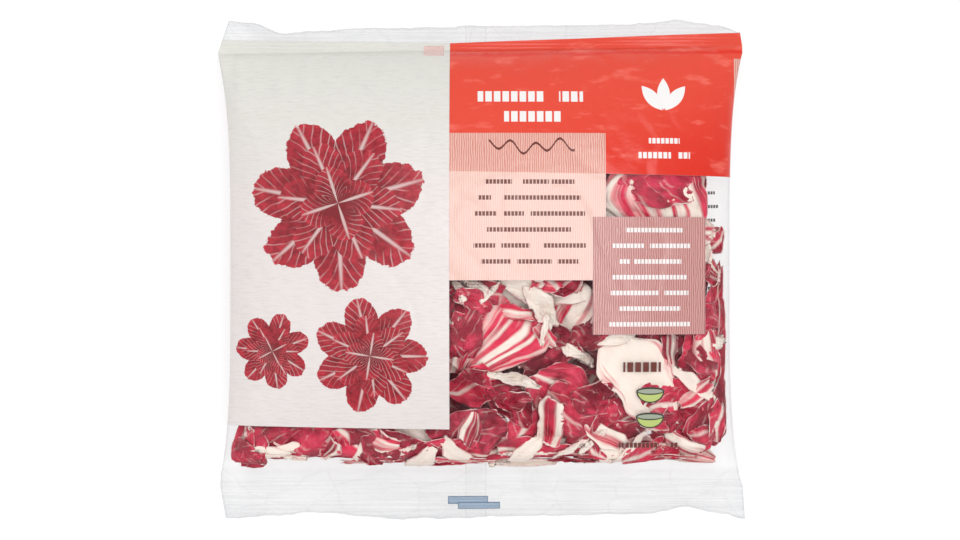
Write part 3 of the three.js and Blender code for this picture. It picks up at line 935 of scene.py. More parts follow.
# The pieces behind the clear part of the front, as in the part's source: kind, middle, length, width,
# the way the rib points, and the radius and the turn of the bend.
SEEN = (
    (Cut.RIB, 76, -53, 54, 31, -58, 70, 80),
    (Cut.RIB, 100, -58, 40, 10, -28, 60, 0),
    (Cut.FAN, 7, -32, 44, 38, 52, 30, 90),
    (Cut.BLADE, -12, -30, 46, 30, 86, 26, 90),
    (Cut.BLADE, 59, -74, 38, 32, 24, 22, 60),
    (Cut.BLADE, 40, -60, 34, 28, -40, 24, 20),
    (Cut.BLADE, 30, -38, 32, 26, 35, -20, 70),
    (Cut.STRIP, 19, -57, 36, 6, -4, 90, 0),
    (Cut.FAN, 46, -21, 34, 26, 62, 22, 90),
    (Cut.RIB, 20, -9, 46, 22, -10, 50, 80),
    (Cut.BLADE, 108, -34, 46, 26, 76, 24, 80),
    (Cut.BLADE, 90, -28, 32, 26, 60, -28, 30),
    (Cut.BLADE, 104, -74, 42, 27, 68, 24, 70),
    (Cut.RIB, 65, -84, 22, 16, 78, 30, 90),
    (Cut.RIB, 39, -86, 38, 13, 12, 60, 20),
    (Cut.BLADE, 22, -70, 27, 17, 72, 16, 90),
    (Cut.BLADE, -4, -77, 36, 26, 18, -26, 50),
    (Cut.BLADE, 84, -83, 26, 13, 5, 30, 70),
    (Cut.FAN, 84, 38, 32, 54, -86, 60, 90),
    (Cut.RIB, 76, 24, 50, 22, -6, 70, 85),
    (Cut.BLADE, 105, -6, 36, 20, 80, 26, 80),
    (Cut.RIB, 108, 17, 26, 13, 6, 40, 80),
    (Cut.RIB, -97, -86, 34, 11, -28, 30, 10),
    (Cut.BLADE, -108, -80, 30, 20, 70, 20, 80),
    (Cut.BLADE, -80, -79, 36, 28, 10, 60, 30),
    (Cut.BLADE, -51, -80, 34, 28, -44, 30, 80),
    (Cut.RIB, -27, -78, 36, 15, -32, 40, 90),
    (Cut.BLADE, 12, -86, 34, 16, 14, 24, 80),
    (Cut.BLADE, -56, -87, 42, 13, 4, 30, 90),
)

# The middles of the pieces that are hidden, behind the print and against the back, and the kinds that they
# take in turn. Each lies up to SCATTER millimetres away, and each group counts its draws from its own seed.
UNDER_PRINT = (
    (-92, 72), (-40, 76), (-94, 26), (-44, 28), (-92, -22),
    (-46, -26), (6, 30), (40, 64), (-60, 50), (64, -8),
)
AGAINST_BACK = (
    (-88, 74), (-45, 74), (0, 74), (45, 74), (88, 74),
    (-88, 33), (-40, 50), (0, 33), (45, 33), (88, 33),
    (-88, -9), (-58, -4), (0, -9), (45, -9), (88, -9),
    (-88, -52), (-52, -48), (0, -52), (45, -52), (76, -44),
)
RANDOM_CUTS = (Cut.BLADE, Cut.BLADE, Cut.RIB, Cut.BLADE, Cut.FAN)
SCATTER = 7.0
UNDER_PRINT_SEED = 41
AGAINST_BACK_SEED = 61


class Skyline:
    """How near the film the leaves come, over square cells of the plan."""

    def __init__(self, cell: float = 1.5, reach: float = 132.0, empty: float = 30.0) -> None:
        """Start with nothing laid.

        Args:
            cell: Width of a cell, in millimetres.
            reach: Half the width of the square of cells, in millimetres.
            empty: How deep an empty cell counts as, in millimetres.
        """
        self.cell = cell
        self.reach = reach
        count = int(2 * reach / cell) + 1
        self.depths = np.full((count, count), empty)

    def cells(self, points: Grid) -> tuple[Grid, Grid]:
        """Return the cells under points."""
        spots = np.clip(np.round((points[..., :2] + self.reach) / self.cell), 0, len(self.depths) - 1)
        return spots[..., 1].astype(int), spots[..., 0].astype(int)

    def cover(self, points: Grid) -> None:
        """Add the points of a piece's face."""
        deep = BAG.inside(Side.FRONT, points[..., 0], points[..., 1]) - points[..., 2]
        np.minimum.at(self.depths, self.cells(points), deep)

    def under(self, points: Grid) -> Grid:
        """Return how far under the film the leaves are, smoothed, at each point."""
        deep = self.depths
        for _ in range(3):
            wide = np.pad(deep, 1, mode="edge")
            shifts = [wide[i:i + len(deep), j:j + len(deep)] for i in range(3) for j in range(3)]
            deep = 0.5 * (np.mean(shifts, axis=0) + np.min(shifts, axis=0))
        return deep[self.cells(points)]


@dataclass
class Shred(LeafPiece):
    """A small scrap of leaf that lies on the heap, under the film."""

    cells_along: int = 30
    cells_across: int = 18
    side_limit: tuple[float, float] = (0.975, 0.995)
    end_limit: tuple[float, float] = (0.92, 0.985)
    lift: float = 0.5
    film_gap: float = 0.35
    easing: float = 1.6
    most_room: float = 20.0

    def settle(self, skyline: Skyline) -> Grid:
        """Return the scrap's fine points, laid on the heap and kept under the film."""
        points, relief = self.ruffled()
        own = points[..., 2] - points[..., 2].mean() + relief
        base = BAG.inside(Side.FRONT, points[..., 0], points[..., 1])
        room = skyline.under(points) - self.film_gap - self.lift - own
        room = np.clip(room, -self.most_room, self.most_room)
        laid = base - self.film_gap - np.log1p(np.exp(self.easing * room)) / self.easing
        lowest = BAG.inside(Side.BACK, points[..., 0], points[..., 1])
        lowest += FORMS[self.cut].thick + self.film_gap
        points[..., 2] = np.minimum(np.maximum(laid, lowest), base - self.film_gap)
        return points

    def lay(self, skyline: Skyline, skins: Skins, edge: bpy.types.Material) -> None:
        """Build the scrap on the heap and dress it."""
        points = self.settle(skyline)
        piece = grid_sheet(f"shred_{self.seed}", points, self.flat())
        self.dress(piece, self.shares(), skins, edge)
        skyline.cover(points)


# Where scraps lie, as boxes of the plan with how many go in each, and where none hides a large piece.
SHRED_AREAS = (
    ((-14, 116), (-90, -2), 62),
    ((-116, -14), (-91, -77), 10),
    ((100, 117), (-10, 30), 3),
)
KEPT_CLEAR = ((74, -52, 19), (7, -31, 13), (84, 38, 16))

# The scraps' kinds in turn, how long they are, how slender each kind is, and how tightly they are bent.
SHRED_CUTS = (Cut.BLADE, Cut.STRIP, Cut.BLADE, Cut.FAN, Cut.BLADE, Cut.RIB, Cut.BLADE, Cut.STRIP, Cut.FAN)
SCRAP_LENGTH = (13.0, 25.0)
SCRAP_SLENDERNESS = {Cut.BLADE: 0.62, Cut.FAN: 0.55, Cut.RIB: 0.42, Cut.STRIP: 0.17}
SCRAP_RADIUS = (7.0, 16.0)

# Where each group of scraps starts to count its random draws.
STANDING_SEED = 150
FILLING_SEED = 190
SCRAP_SEED = 200

# The outline of the large white rib, which is cut to a blunt spear: its width along the piece.
SPEAR = ((-1, 0.42), (-0.6, 1.1), (0.2, 0.88), (1, 0.38))

# Scraps that close gaps in the heap, as in the table of pieces above, and how much of its bend each keeps.
FILLING = (
    (Cut.BLADE, -14, -88, 36, 18, 8, 40, 90, 0.4),
    (Cut.BLADE, 94, -62, 34, 28, 20, 40, 60, 0.4),
    (Cut.BLADE, -34, -86, 30, 18, -12, 40, 90, 0.4),
    (Cut.BLADE, 60, -80, 34, 24, 10, 40, 30, 0.4),
    (Cut.BLADE, 30, -88, 40, 18, 2, 40, 90, 0.4),
)

# Scraps that stand out, with the same columns.
STANDING_OUT = (
    (Cut.BLADE, -7, -27, 42, 15, 88, 14, 90, 0.8),
    (Cut.BLADE, -2, -54, 30, 20, 20, 12, 60, 1),
    (Cut.BLADE, 13, -61, 27, 18, -30, 10, 30, 1),
    (Cut.STRIP, 15, -51, 27, 5, -18, 9, 10, 1),
    (Cut.BLADE, 115, -12, 34, 16, 76, 16, 90, 0.5),
    (Cut.BLADE, 113, -37, 44, 22, 82, 24, 80, 0.5),
    (Cut.BLADE, 114, -67, 38, 22, 62, 18, 70, 0.5),
    (Cut.FAN, 99, -88, 30, 17, -24, 14, 60, 0.7),
    (Cut.BLADE, 82, -92, 30, 14, 8, 14, 60, 0.6),
    (Cut.BLADE, 60, -92, 24, 10, -6, 14, 60, 0.6),
    (Cut.BLADE, 40, -66, 26, 22, -50, 12, 20, 1),
    (Cut.RIB, 62, -86, 17, 13, 70, 18, 80, 1),
    (Cut.STRIP, 100, -53, 30, 7, -30, 16, 30, 1),
    (Cut.BLADE, 84, 43, 50, 26, -4, 40, 90, 0.6),
    (Cut.FAN, 109, 15, 20, 12, -16, 16, 60, 0.6),
    (Cut.BLADE, -91, -83, 44, 25, 4, 60, 80, 0.25),
    (Cut.BLADE, -54, -84, 36, 25, -30, 40, 80, 0.35),
    (Cut.BLADE, -113, -82, 24, 15, 75, 16, 60, 0.7),
    (Cut.STRIP, -98, -88, 26, 7, 22, 14, 0, 1),
    (Cut.RIB, -101, -90, 26, 8, -6, 14, 0, 0.8),
    (Cut.RIB, -27, -91, 18, 12, 66, 16, 60, 0.7),
    (Cut.BLADE, -52, -94, 30, 8, 2, 20, 90, 0.5),
    (Cut.BLADE, -8, -94, 28, 9, 5, 20, 90, 0.5),
    (Cut.RIB, 22, -95, 32, 9, -3, 20, 90, 0.5),
    (Cut.BLADE, 45, -95, 22, 8, 6, 20, 90, 0.5),
    (Cut.BLADE, 92, -96, 26, 9, -4, 20, 90, 0.5),
    (Cut.RIB, 31, -9, 46, 15, -5, 40, 85, 0.5),
    (Cut.BLADE, -3, -9, 28, 15, -14, 24, 80, 0.5),
)


@dataclass
class Heap:
    """All the cut leaves in the bag."""

    pieces: list[LeafPiece] = field(default_factory=list)
    skyline: Skyline = field(default_factory=Skyline)

    def scattered(self, place: tuple[float, float], seed: int, side: Side) -> LeafPiece:
        """Return a hidden piece, placed and sized at random as in the part's source."""
        cut = RANDOM_CUTS[seed % len(RANDOM_CUTS)]
        size = mix(50, 64, draw(seed, 1))
        return LeafPiece(
            cut=cut,
            x=place[0] + SCATTER * (2 * draw(seed, 2) - 1),
            y=place[1] + SCATTER * (2 * draw(seed, 3) - 1),
            length=size,
            width=size * mix(0.62, 0.84, draw(seed, 4)) * (0.6 if cut is Cut.RIB else 1),
            heading=180 * draw(seed, 5),
            radius=mix(45, 90, draw(seed, 6)) * (-1 if draw(seed, 7) < 0.5 else 1),
            turn=180 * draw(seed, 8),
            seed=seed,
            side=side,
        )

    def gather(self) -> None:
        """List every piece."""
        for k, row in enumerate(SEEN):
            self.pieces.append(LeafPiece(*row, seed=k + 1, side=Side.FRONT))
        self.pieces[0].outline = SPEAR
        for k, place in enumerate(UNDER_PRINT):
            self.pieces.append(self.scattered(place, UNDER_PRINT_SEED + k, Side.FRONT))
        for k, place in enumerate(AGAINST_BACK):
            self.pieces.append(self.scattered(place, AGAINST_BACK_SEED + k, Side.BACK))

    def make(self, nodes: dict[str, bpy.types.Object]) -> None:
        """Build and dress every piece in its CAD node's place."""
        self.gather()
        skins = {cut: LeafFinish(cut).make() for cut in Cut}
        edge = CutEdgeFinish().make()
        for piece in self.pieces:
            points = piece.make(nodes[piece.name], skins, edge)
            if piece.side is Side.FRONT:
                self.skyline.cover(points)
        log.info("made %d cut pieces", len(self.pieces))
        shreds = self.shreds()
        for shred in shreds:
            shred.lay(self.skyline, skins, edge)
        log.info("made %d shreds", len(shreds))

    def shreds(self) -> list[Shred]:
        """Return the small scraps, placed at random in their areas."""
        found = []
        for first, rows in ((FILLING_SEED, FILLING), (STANDING_SEED, STANDING_OUT)):
            for k, row in enumerate(rows):
                found.append(Shred(*row[:-1], seed=first + k, side=Side.FRONT, flatter=row[-1]))
        seed = SCRAP_SEED
        for (left, right), (low, high), count in SHRED_AREAS:
            for _ in range(count):
                seed += 1
                x, y = mix(left, right, draw(seed, 1)), mix(low, high, draw(seed, 2))
                if all(math.hypot(x - cx, y - cy) > away for cx, cy, away in KEPT_CLEAR):
                    found.append(self.shred(x, y, seed))
        return found

    def shred(self, x: float, y: float, seed: int) -> Shred:
        """Return one scrap of a random kind and size."""
        cut = SHRED_CUTS[seed % len(SHRED_CUTS)]
        length = mix(*SCRAP_LENGTH, draw(seed, 3))
        return Shred(
            cut=cut,
            x=x,
            y=y,
            length=length,
            width=length * SCRAP_SLENDERNESS[cut] * mix(0.75, 1.25, draw(seed, 4)),
            heading=360 * draw(seed, 5),
            radius=mix(*SCRAP_RADIUS, draw(seed, 6)) * (-1 if draw(seed, 7) < 0.4 else 1),
            turn=180 * draw(seed, 8),
            seed=seed,
            side=Side.FRONT,
        )


@dataclass(frozen=True)
class SealedEnd:
    """One sealed end of the film.

    Attributes:
        edge: The line of the cut edge across the bag, in millimetres.
        seed: Where in the noise its ragged edge is taken from.
        phase: Where its wave starts.
        left_reach: How far the left corner reaches, as a share of the width.
        right_reach: How far the right corner reaches.
    """

    edge: tuple[tuple[float, float], ...]
    seed: float
    phase: float
    left_reach: float
    right_reach: float


TOP = SealedEnd(
    edge=(
        (-125, 118.5), (-112, 117.8), (-95, 113), (-50, 115), (0, 116), (66, 116.8),
        (95, 118.5), (115, 116.6), (125, 113),
    ),
    seed=31.0,
    phase=0.6,
    left_reach=0.96,
    right_reach=0.995,
)
BOTTOM = SealedEnd(
    edge=(
        (-125, -118.3), (-76, -115.4), (-40, -118.5), (10, -117.3), (80, -116),
        (98, -112.8), (112, -115.6), (125, -118.3),
    ),
    seed=37.0,
    phase=2.4,
    left_reach=0.972,
    right_reach=1.012,
)


class Region(Enum):
    """What a part of the film holds: nothing, the white panel with its rosettes, or any other print."""

    CLEAR = 0
    PANEL = 1
    LABEL = 2


# What parts of the plan hold, a little larger than the print itself, with later rows over earlier ones:
# the region, left, right, low and high. The rest is clear.
REGIONS = {
    Side.FRONT: (
        (Region.LABEL, -140, 140, -79, 115),
        (Region.CLEAR, -12, 140, -79, 38),
        (Region.LABEL, -16, 61, -8, 66),
        (Region.LABEL, 50, 108, -33, 28),
        (Region.LABEL, 61, 97, -88, -40),
        (Region.LABEL, -18, 12, -116, -105),
        (Region.PANEL, -140, -15.2, -71, 104),
    ),
    Side.BACK: ((Region.LABEL, 95, 120, -16, 42),),
}


@dataclass
class FilmSheet:
    """The printed front or the clear back of the film, from one cut end to the other.

    Attributes:
        side: Which face it is.
        columns: Cells across the bag.
        body_rows: Cells along it between the seals.
        top_rows: Cells along the top seal.
        bottom_rows: Cells along the bottom seal.
        wall: Thickness of the film, in millimetres.
        lift: How far the sheet stands out from where front and back meet.
        full_lift: How much further it does so where the bag is full.
        crimp_height: Height of the seals' ridges.
        crimp_pitch: Distance from ridge to ridge.
        corner_power: Power by which a corner's reach fades inwards.
        lowest: How near the table the back may come.
        dent_range: How far the film may be dented in and stand out.
    """

    side: Side
    columns: int = 236
    body_rows: int = 136
    top_rows: int = 26
    bottom_rows: int = 38
    wall: float = 0.12
    lift: float = 0.25
    full_lift: float = 0.2
    crimp_height: float = 0.11
    crimp_pitch: float = 1.6
    corner_power: int = 6
    lowest: float = 0.1
    dent_range: tuple[float, float] = (-1.1, 1.2)

    @property
    def name(self) -> str:
        """The name of this sheet."""
        return f"film_{self.side.name.lower()}"

    def across(self) -> Grid:
        """Return the columns' places, from -1 at the left fold to 1 at the right one."""
        even = np.linspace(-1, 1, self.columns + 1)
        return mix(even, np.sin(even * math.pi / 2), 0.75)

    def end(self, seal: SealedEnd, out: Grid, across: Grid) -> Grid:
        """Return the points of a seal band.

        Args:
            seal: Which end it is.
            out: Places from 0 at the inside's end to 1 at the cut edge, one for each row.
            across: Places from -1 to 1, one for each column.

        Returns:
            Points in millimetres.
        """
        out, across = np.meshgrid(out, across, indexing="ij")
        x = across * BAG.half_width_seal
        start = BAG.seal_line(across) if seal is TOP else np.full_like(across, BAG.bottom_seal_y)
        nowhere = np.zeros_like(x)
        ragged = 0.7 * rough(x, nowhere, seal.seed, 11.0)
        frayed = 0.35 * rough(x, nowhere, seal.seed + 2.0, 3.5)
        y = mix(start, eased_line(seal.edge, x) + ragged + frayed, out)
        reach = np.where(across < 0, seal.left_reach, seal.right_reach)
        corner = mix(1.0, reach, np.abs(across) ** self.corner_power * out)
        wave = BAG.seal_wave * np.sin(x * 2 * math.pi / BAG.seal_wave_length + seal.phase)
        z = BAG.fold_height_end + out * (wave - BAG.seal_droop)
        lift = self.side.value * self.lift
        crimp = self.crimp_height * np.sin(y * 2 * math.pi / self.crimp_pitch)
        crimp = crimp * smooth(0.02, 0.12, out) * (1 - smooth(0.8, 0.9, out))
        return np.stack([across * BAG.half_width(y) * corner, y, z + lift + crimp], -1)

    def body(self, across: Grid) -> Grid:
        """Return the points between the seals, with the film's folds and dents."""
        even = np.linspace(-1, 1, self.body_rows + 1)
        up, across = np.meshgrid(mix(even, np.sin(even * math.pi / 2), 0.6), across, indexing="ij")
        y = BAG.lengthwise(across, up)
        x = across * BAG.half_width(y)
        full = BAG.fullness(up)
        lift = self.lift + self.full_lift * full
        if self.side is Side.FRONT:
            z = BAG.fold_height(up) + lift + BAG.front_rise * full * BAG.roundness(across)
        else:
            z = BAG.fold_height(up) - lift - BAG.back_drop * full**BAG.back_ease * BAG.roundness(across)
            z = np.maximum(z, self.lowest)
        points = np.stack([x, y, z], -1)
        return points + self.outward(points) * self.dents(x, y, across)[..., None]

    def outward(self, points: Grid) -> Grid:
        """Return the way that the film faces at each point."""
        along = np.gradient(points, axis=0)
        crosswise = np.gradient(points, axis=1)
        normal = np.cross(crosswise, along) * self.side.value
        return normal / np.maximum(np.linalg.norm(normal, axis=-1, keepdims=True), 1e-9)

    def dents(self, x: Grid, y: Grid, across: Grid) -> Grid:
        """Return how far the film stands out of, or in from, its smooth shape."""
        seed = 11.0 if self.side is Side.FRONT else 53.0
        to_top = BAG.seal_line(across) - y
        to_bottom = y - BAG.bottom_seal_y
        to_fold = (1.0 - np.abs(across)) * BAG.half_width(y)
        inner = smooth(0.0, 7.0, np.minimum(np.minimum(to_top, to_bottom), to_fold))
        dents = np.zeros_like(x)
        for distance, place, shift in ((to_top, x, 0.0), (to_bottom, x, 4.0)):
            fade = smooth(0.0, 4.0, distance) * np.exp(-distance / 16.0)
            dents += 1.7 * fade * rough(place, distance, seed + shift, 6.5, 60.0)
        fade = smooth(0.0, 4.0, to_fold) * np.exp(-to_fold / 14.0)
        dents += 1.5 * fade * rough(y, to_fold, seed + 8.0, 7.5, 55.0)
        dents += 0.7 * inner * rough(x, y, seed + 12.0, 26.0)
        crease = 1.0 - np.abs(rough(x + 0.4 * y, y, seed + 16.0, 21.0, 30.0)) * 6.0
        dents -= 0.35 * inner * np.maximum(0.0, crease)
        dents = np.clip(dents, *self.dent_range)
        if self.side is Side.BACK:
            dents = np.minimum(dents, 0.0)
        return dents

    def shape(self) -> Grid:
        """Return every point of the sheet, from the bottom cut edge to the top one."""
        across = self.across()
        bottom = self.end(BOTTOM, np.linspace(1, 0, self.bottom_rows + 1), across)
        top = self.end(TOP, np.linspace(0, 1, self.top_rows + 1), across)
        return np.concatenate([bottom[:-1], self.body(across), top[1:]], axis=0)

    def to_edge(self, points: Grid) -> Grid:
        """Return how far each point is from the sheet's nearest edge, in plan."""
        x, y = points[..., 0], points[..., 1]
        to_side = np.minimum(np.abs(x - x[:, :1]), np.abs(x - x[:, -1:]))
        to_end = np.minimum(np.abs(y - y[:1]), np.abs(y - y[-1:]))
        return np.minimum(to_side, to_end)

    def split(self, mesh: bpy.types.Mesh) -> None:
        """Give each face the material of the region that it lies in."""
        centres = np.empty(len(mesh.polygons) * 3)
        mesh.polygons.foreach_get("center", centres)
        x, y = centres.reshape(-1, 3)[:, :2].T / MM
        held = np.zeros(len(x), dtype=np.int32)
        for region, left, right, low, high in REGIONS[self.side]:
            held[(x > left) & (x < right) & (y > low) & (y < high)] = region.value
        mesh.polygons.foreach_set("material_index", held)

    def make(self) -> None:
        """Build the sheet and dress it in place of the CAD film."""
        points = self.shape()
        plane = points[..., :2].copy()
        if self.side is Side.BACK:
            points = points[:, ::-1]
            plane = plane[:, ::-1]
        sheet = grid_sheet(self.name, points, plane)
        for region in Region:
            sheet.data.materials.append(FilmFinish(self.side, region).make())
        self.split(sheet.data)
        hold_number(sheet, "edge", self.to_edge(points).ravel())
        thicken(sheet, self.wall)
        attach(sheet, "root")
        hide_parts("film_bag")
        log.info("made %s", self.name)


class Print:
    """What is printed on the film: a colour and how much it covers, painted shape by shape.

    Attributes:
        soft: Half the soft edge of a straight shape, in millimetres.
        soft_curve: Half the soft edge of a curved one.
    """

    soft: float = 0.12
    soft_curve: float = 0.15

    def __init__(self, shader: Shader, colour: object, cover: Value) -> None:
        """Start with the bare film."""
        self.shader = shader
        self.x, self.y, _ = shader.plane("sheet")
        self.colour = colour
        self.cover = cover

    def paint(self, mask: Value, colour: object, cover: float) -> None:
        """Lay a colour over a mask, covering what is behind it by the given share."""
        self.colour = self.shader.blend(self.colour, colour, mask)
        self.cover = self.cover + (cover - self.cover) * mask

    def box(self, left: float, right: float, low: float, high: float, slope: float = 0.0) -> Value:
        """Return 1 inside a rectangle whose top and bottom rise by slope, and 0 outside it."""
        y = self.y - self.x * slope
        inside_x = (self.x - left).least(right - self.x)
        inside_y = (y - low).least(high - y)
        return inside_x.least(inside_y).step(-self.soft, self.soft)

    def oval(self, x: float, y: float, half_width: float, half_height: float) -> Value:
        """Return 1 inside an oval and 0 outside it."""
        across = (self.x - x) / half_width
        along = (self.y - y) / half_height
        soft = self.soft_curve / min(half_width, half_height)
        return 1.0 - (across * across + along * along).step(1.0 - soft, 1.0 + soft)

    def lines(self, area: Area, pitch: float, height: float) -> Value:
        """Find lines of small plain blocks, with gaps as between words.

        Args:
            area: The lines' left, right, low and high ends.
            pitch: Distance from line to line.
            height: Height of a block.

        Returns:
            1 on the blocks and 0 elsewhere.
        """
        left, right, low, high = area
        count = (self.y - low) / pitch
        line = count.math("FLOOR")
        marks = abs((self.x / (height * 0.8)).math("FRACT") - 0.5).step(0.08, 0.16)
        words = self.shader.clouds(self.shader.place(self.x * 0.16, line * 3.7 + low), 1.0, 0.0)
        gaps = words.step(0.34, 0.36)
        inward = (line * 2.4 + low).math("SINE") * ((right - left) * 0.07) + (right - left) * 0.05
        middle = (left + right) / 2.0
        reach = (right - left) / 2.0 - inward
        inside = (reach - abs(self.x - middle)).step(-self.soft, self.soft)
        within = 1.0 - (count.math("FRACT") * pitch).step(height - self.soft, height + self.soft)
        return self.box(left, right, low, high) * inside * within * marks * gaps

    def turned(self, x: float, y: float, heading: float) -> tuple[Value, Value]:
        """Return the distances along and across a heading from a point."""
        cosine = math.cos(math.radians(heading))
        sine = math.sin(math.radians(heading))
        along = self.x * cosine + self.y * sine - (x * cosine + y * sine)
        across = self.y * cosine - self.x * sine - (y * cosine - x * sine)
        return along, across

    def lens(self, x: float, y: float, length: float, width: float, heading: float) -> Value:
        """Return 1 inside a pointed leaf outline and 0 outside it."""
        along, across = self.turned(x, y, heading)
        share = along / (length / 2.0)
        half = (1.0 - share * share) * (width / 2.0)
        return (half - abs(across)).step(-self.soft_curve, self.soft_curve)


@dataclass(frozen=True)
class Rosette:
    """A plain printed salad head seen from above: rings of red petals, in millimetres."""

    x: float
    y: float
    radius: float
    turn: float
    rings: tuple[tuple[float, int, float], ...] = ((1.0, 7, 0.0), (0.7, 6, 0.4), (0.42, 4, 0.1))
    deep: Colour = (0.17, 0.004, 0.010)
    bright: Colour = (0.44, 0.022, 0.040)
    white: Colour = (0.62, 0.47, 0.45)

    def paint(self, printed: Print, waver: Value, mottle: Value) -> None:
        """Print the rosette.

        Args:
            printed: The print so far.
            waver: Slow noise that makes the edges wavy.
            mottle: Fast noise that varies the red.
        """
        shader = printed.shader
        dx = printed.x - self.x
        dy = printed.y - self.y
        away = (dx * dx + dy * dy) ** 0.5 / self.radius
        angle = dy.math("ARCTAN2", dx) / (2.0 * math.pi)
        for share, count, shift in self.rings:
            part = abs((angle * count + (self.turn + shift)).math("FRACT") - 0.5)
            along = away / share
            reach = 1.0 - part * part * 1.3 + (waver - 0.5) * 0.2 + (mottle - 0.5) * 0.14
            slant = abs((along * 4.5 - part * 7.0 + waver * 1.4).math("FRACT") - 0.5)
            vein = (1.0 - slant.step(0.03, 0.12)) * waver.step(0.35, 0.6) * 0.45
            midrib = 1.0 - (part - (1.0 - along) * 0.09).step(-0.02, 0.03)
            red = shader.blend(self.deep, self.bright, along * 1.2 - 0.5 + (mottle - 0.5) * 2.0)
            red = shader.blend(red, self.white, (midrib * 0.8).most(vein))
            printed.paint((reach - along).step(-0.008, 0.008), red, 0.985)


@dataclass(frozen=True)
class Bowl:
    """A small printed bowl, outlined, seen a little from above."""

    x: float
    y: float
    line: Colour = (0.030, 0.032, 0.022)
    green: Colour = (0.42, 0.50, 0.16)
    hollow: Colour = (0.30, 0.33, 0.26)

    def paint(self, printed: Print) -> None:
        """Print the bowl."""
        below = (self.y - printed.y).step(-0.1, 0.1)
        printed.paint(printed.oval(self.x, self.y, 6.6, 5.6) * below, self.line, 0.97)
        printed.paint(printed.oval(self.x, self.y, 6.0, 5.0) * below, self.green, 0.97)
        printed.paint(printed.oval(self.x, self.y, 6.6, 1.8), self.line, 0.97)
        printed.paint(printed.oval(self.x, self.y - 0.1, 5.9, 1.1), self.hollow, 0.97)


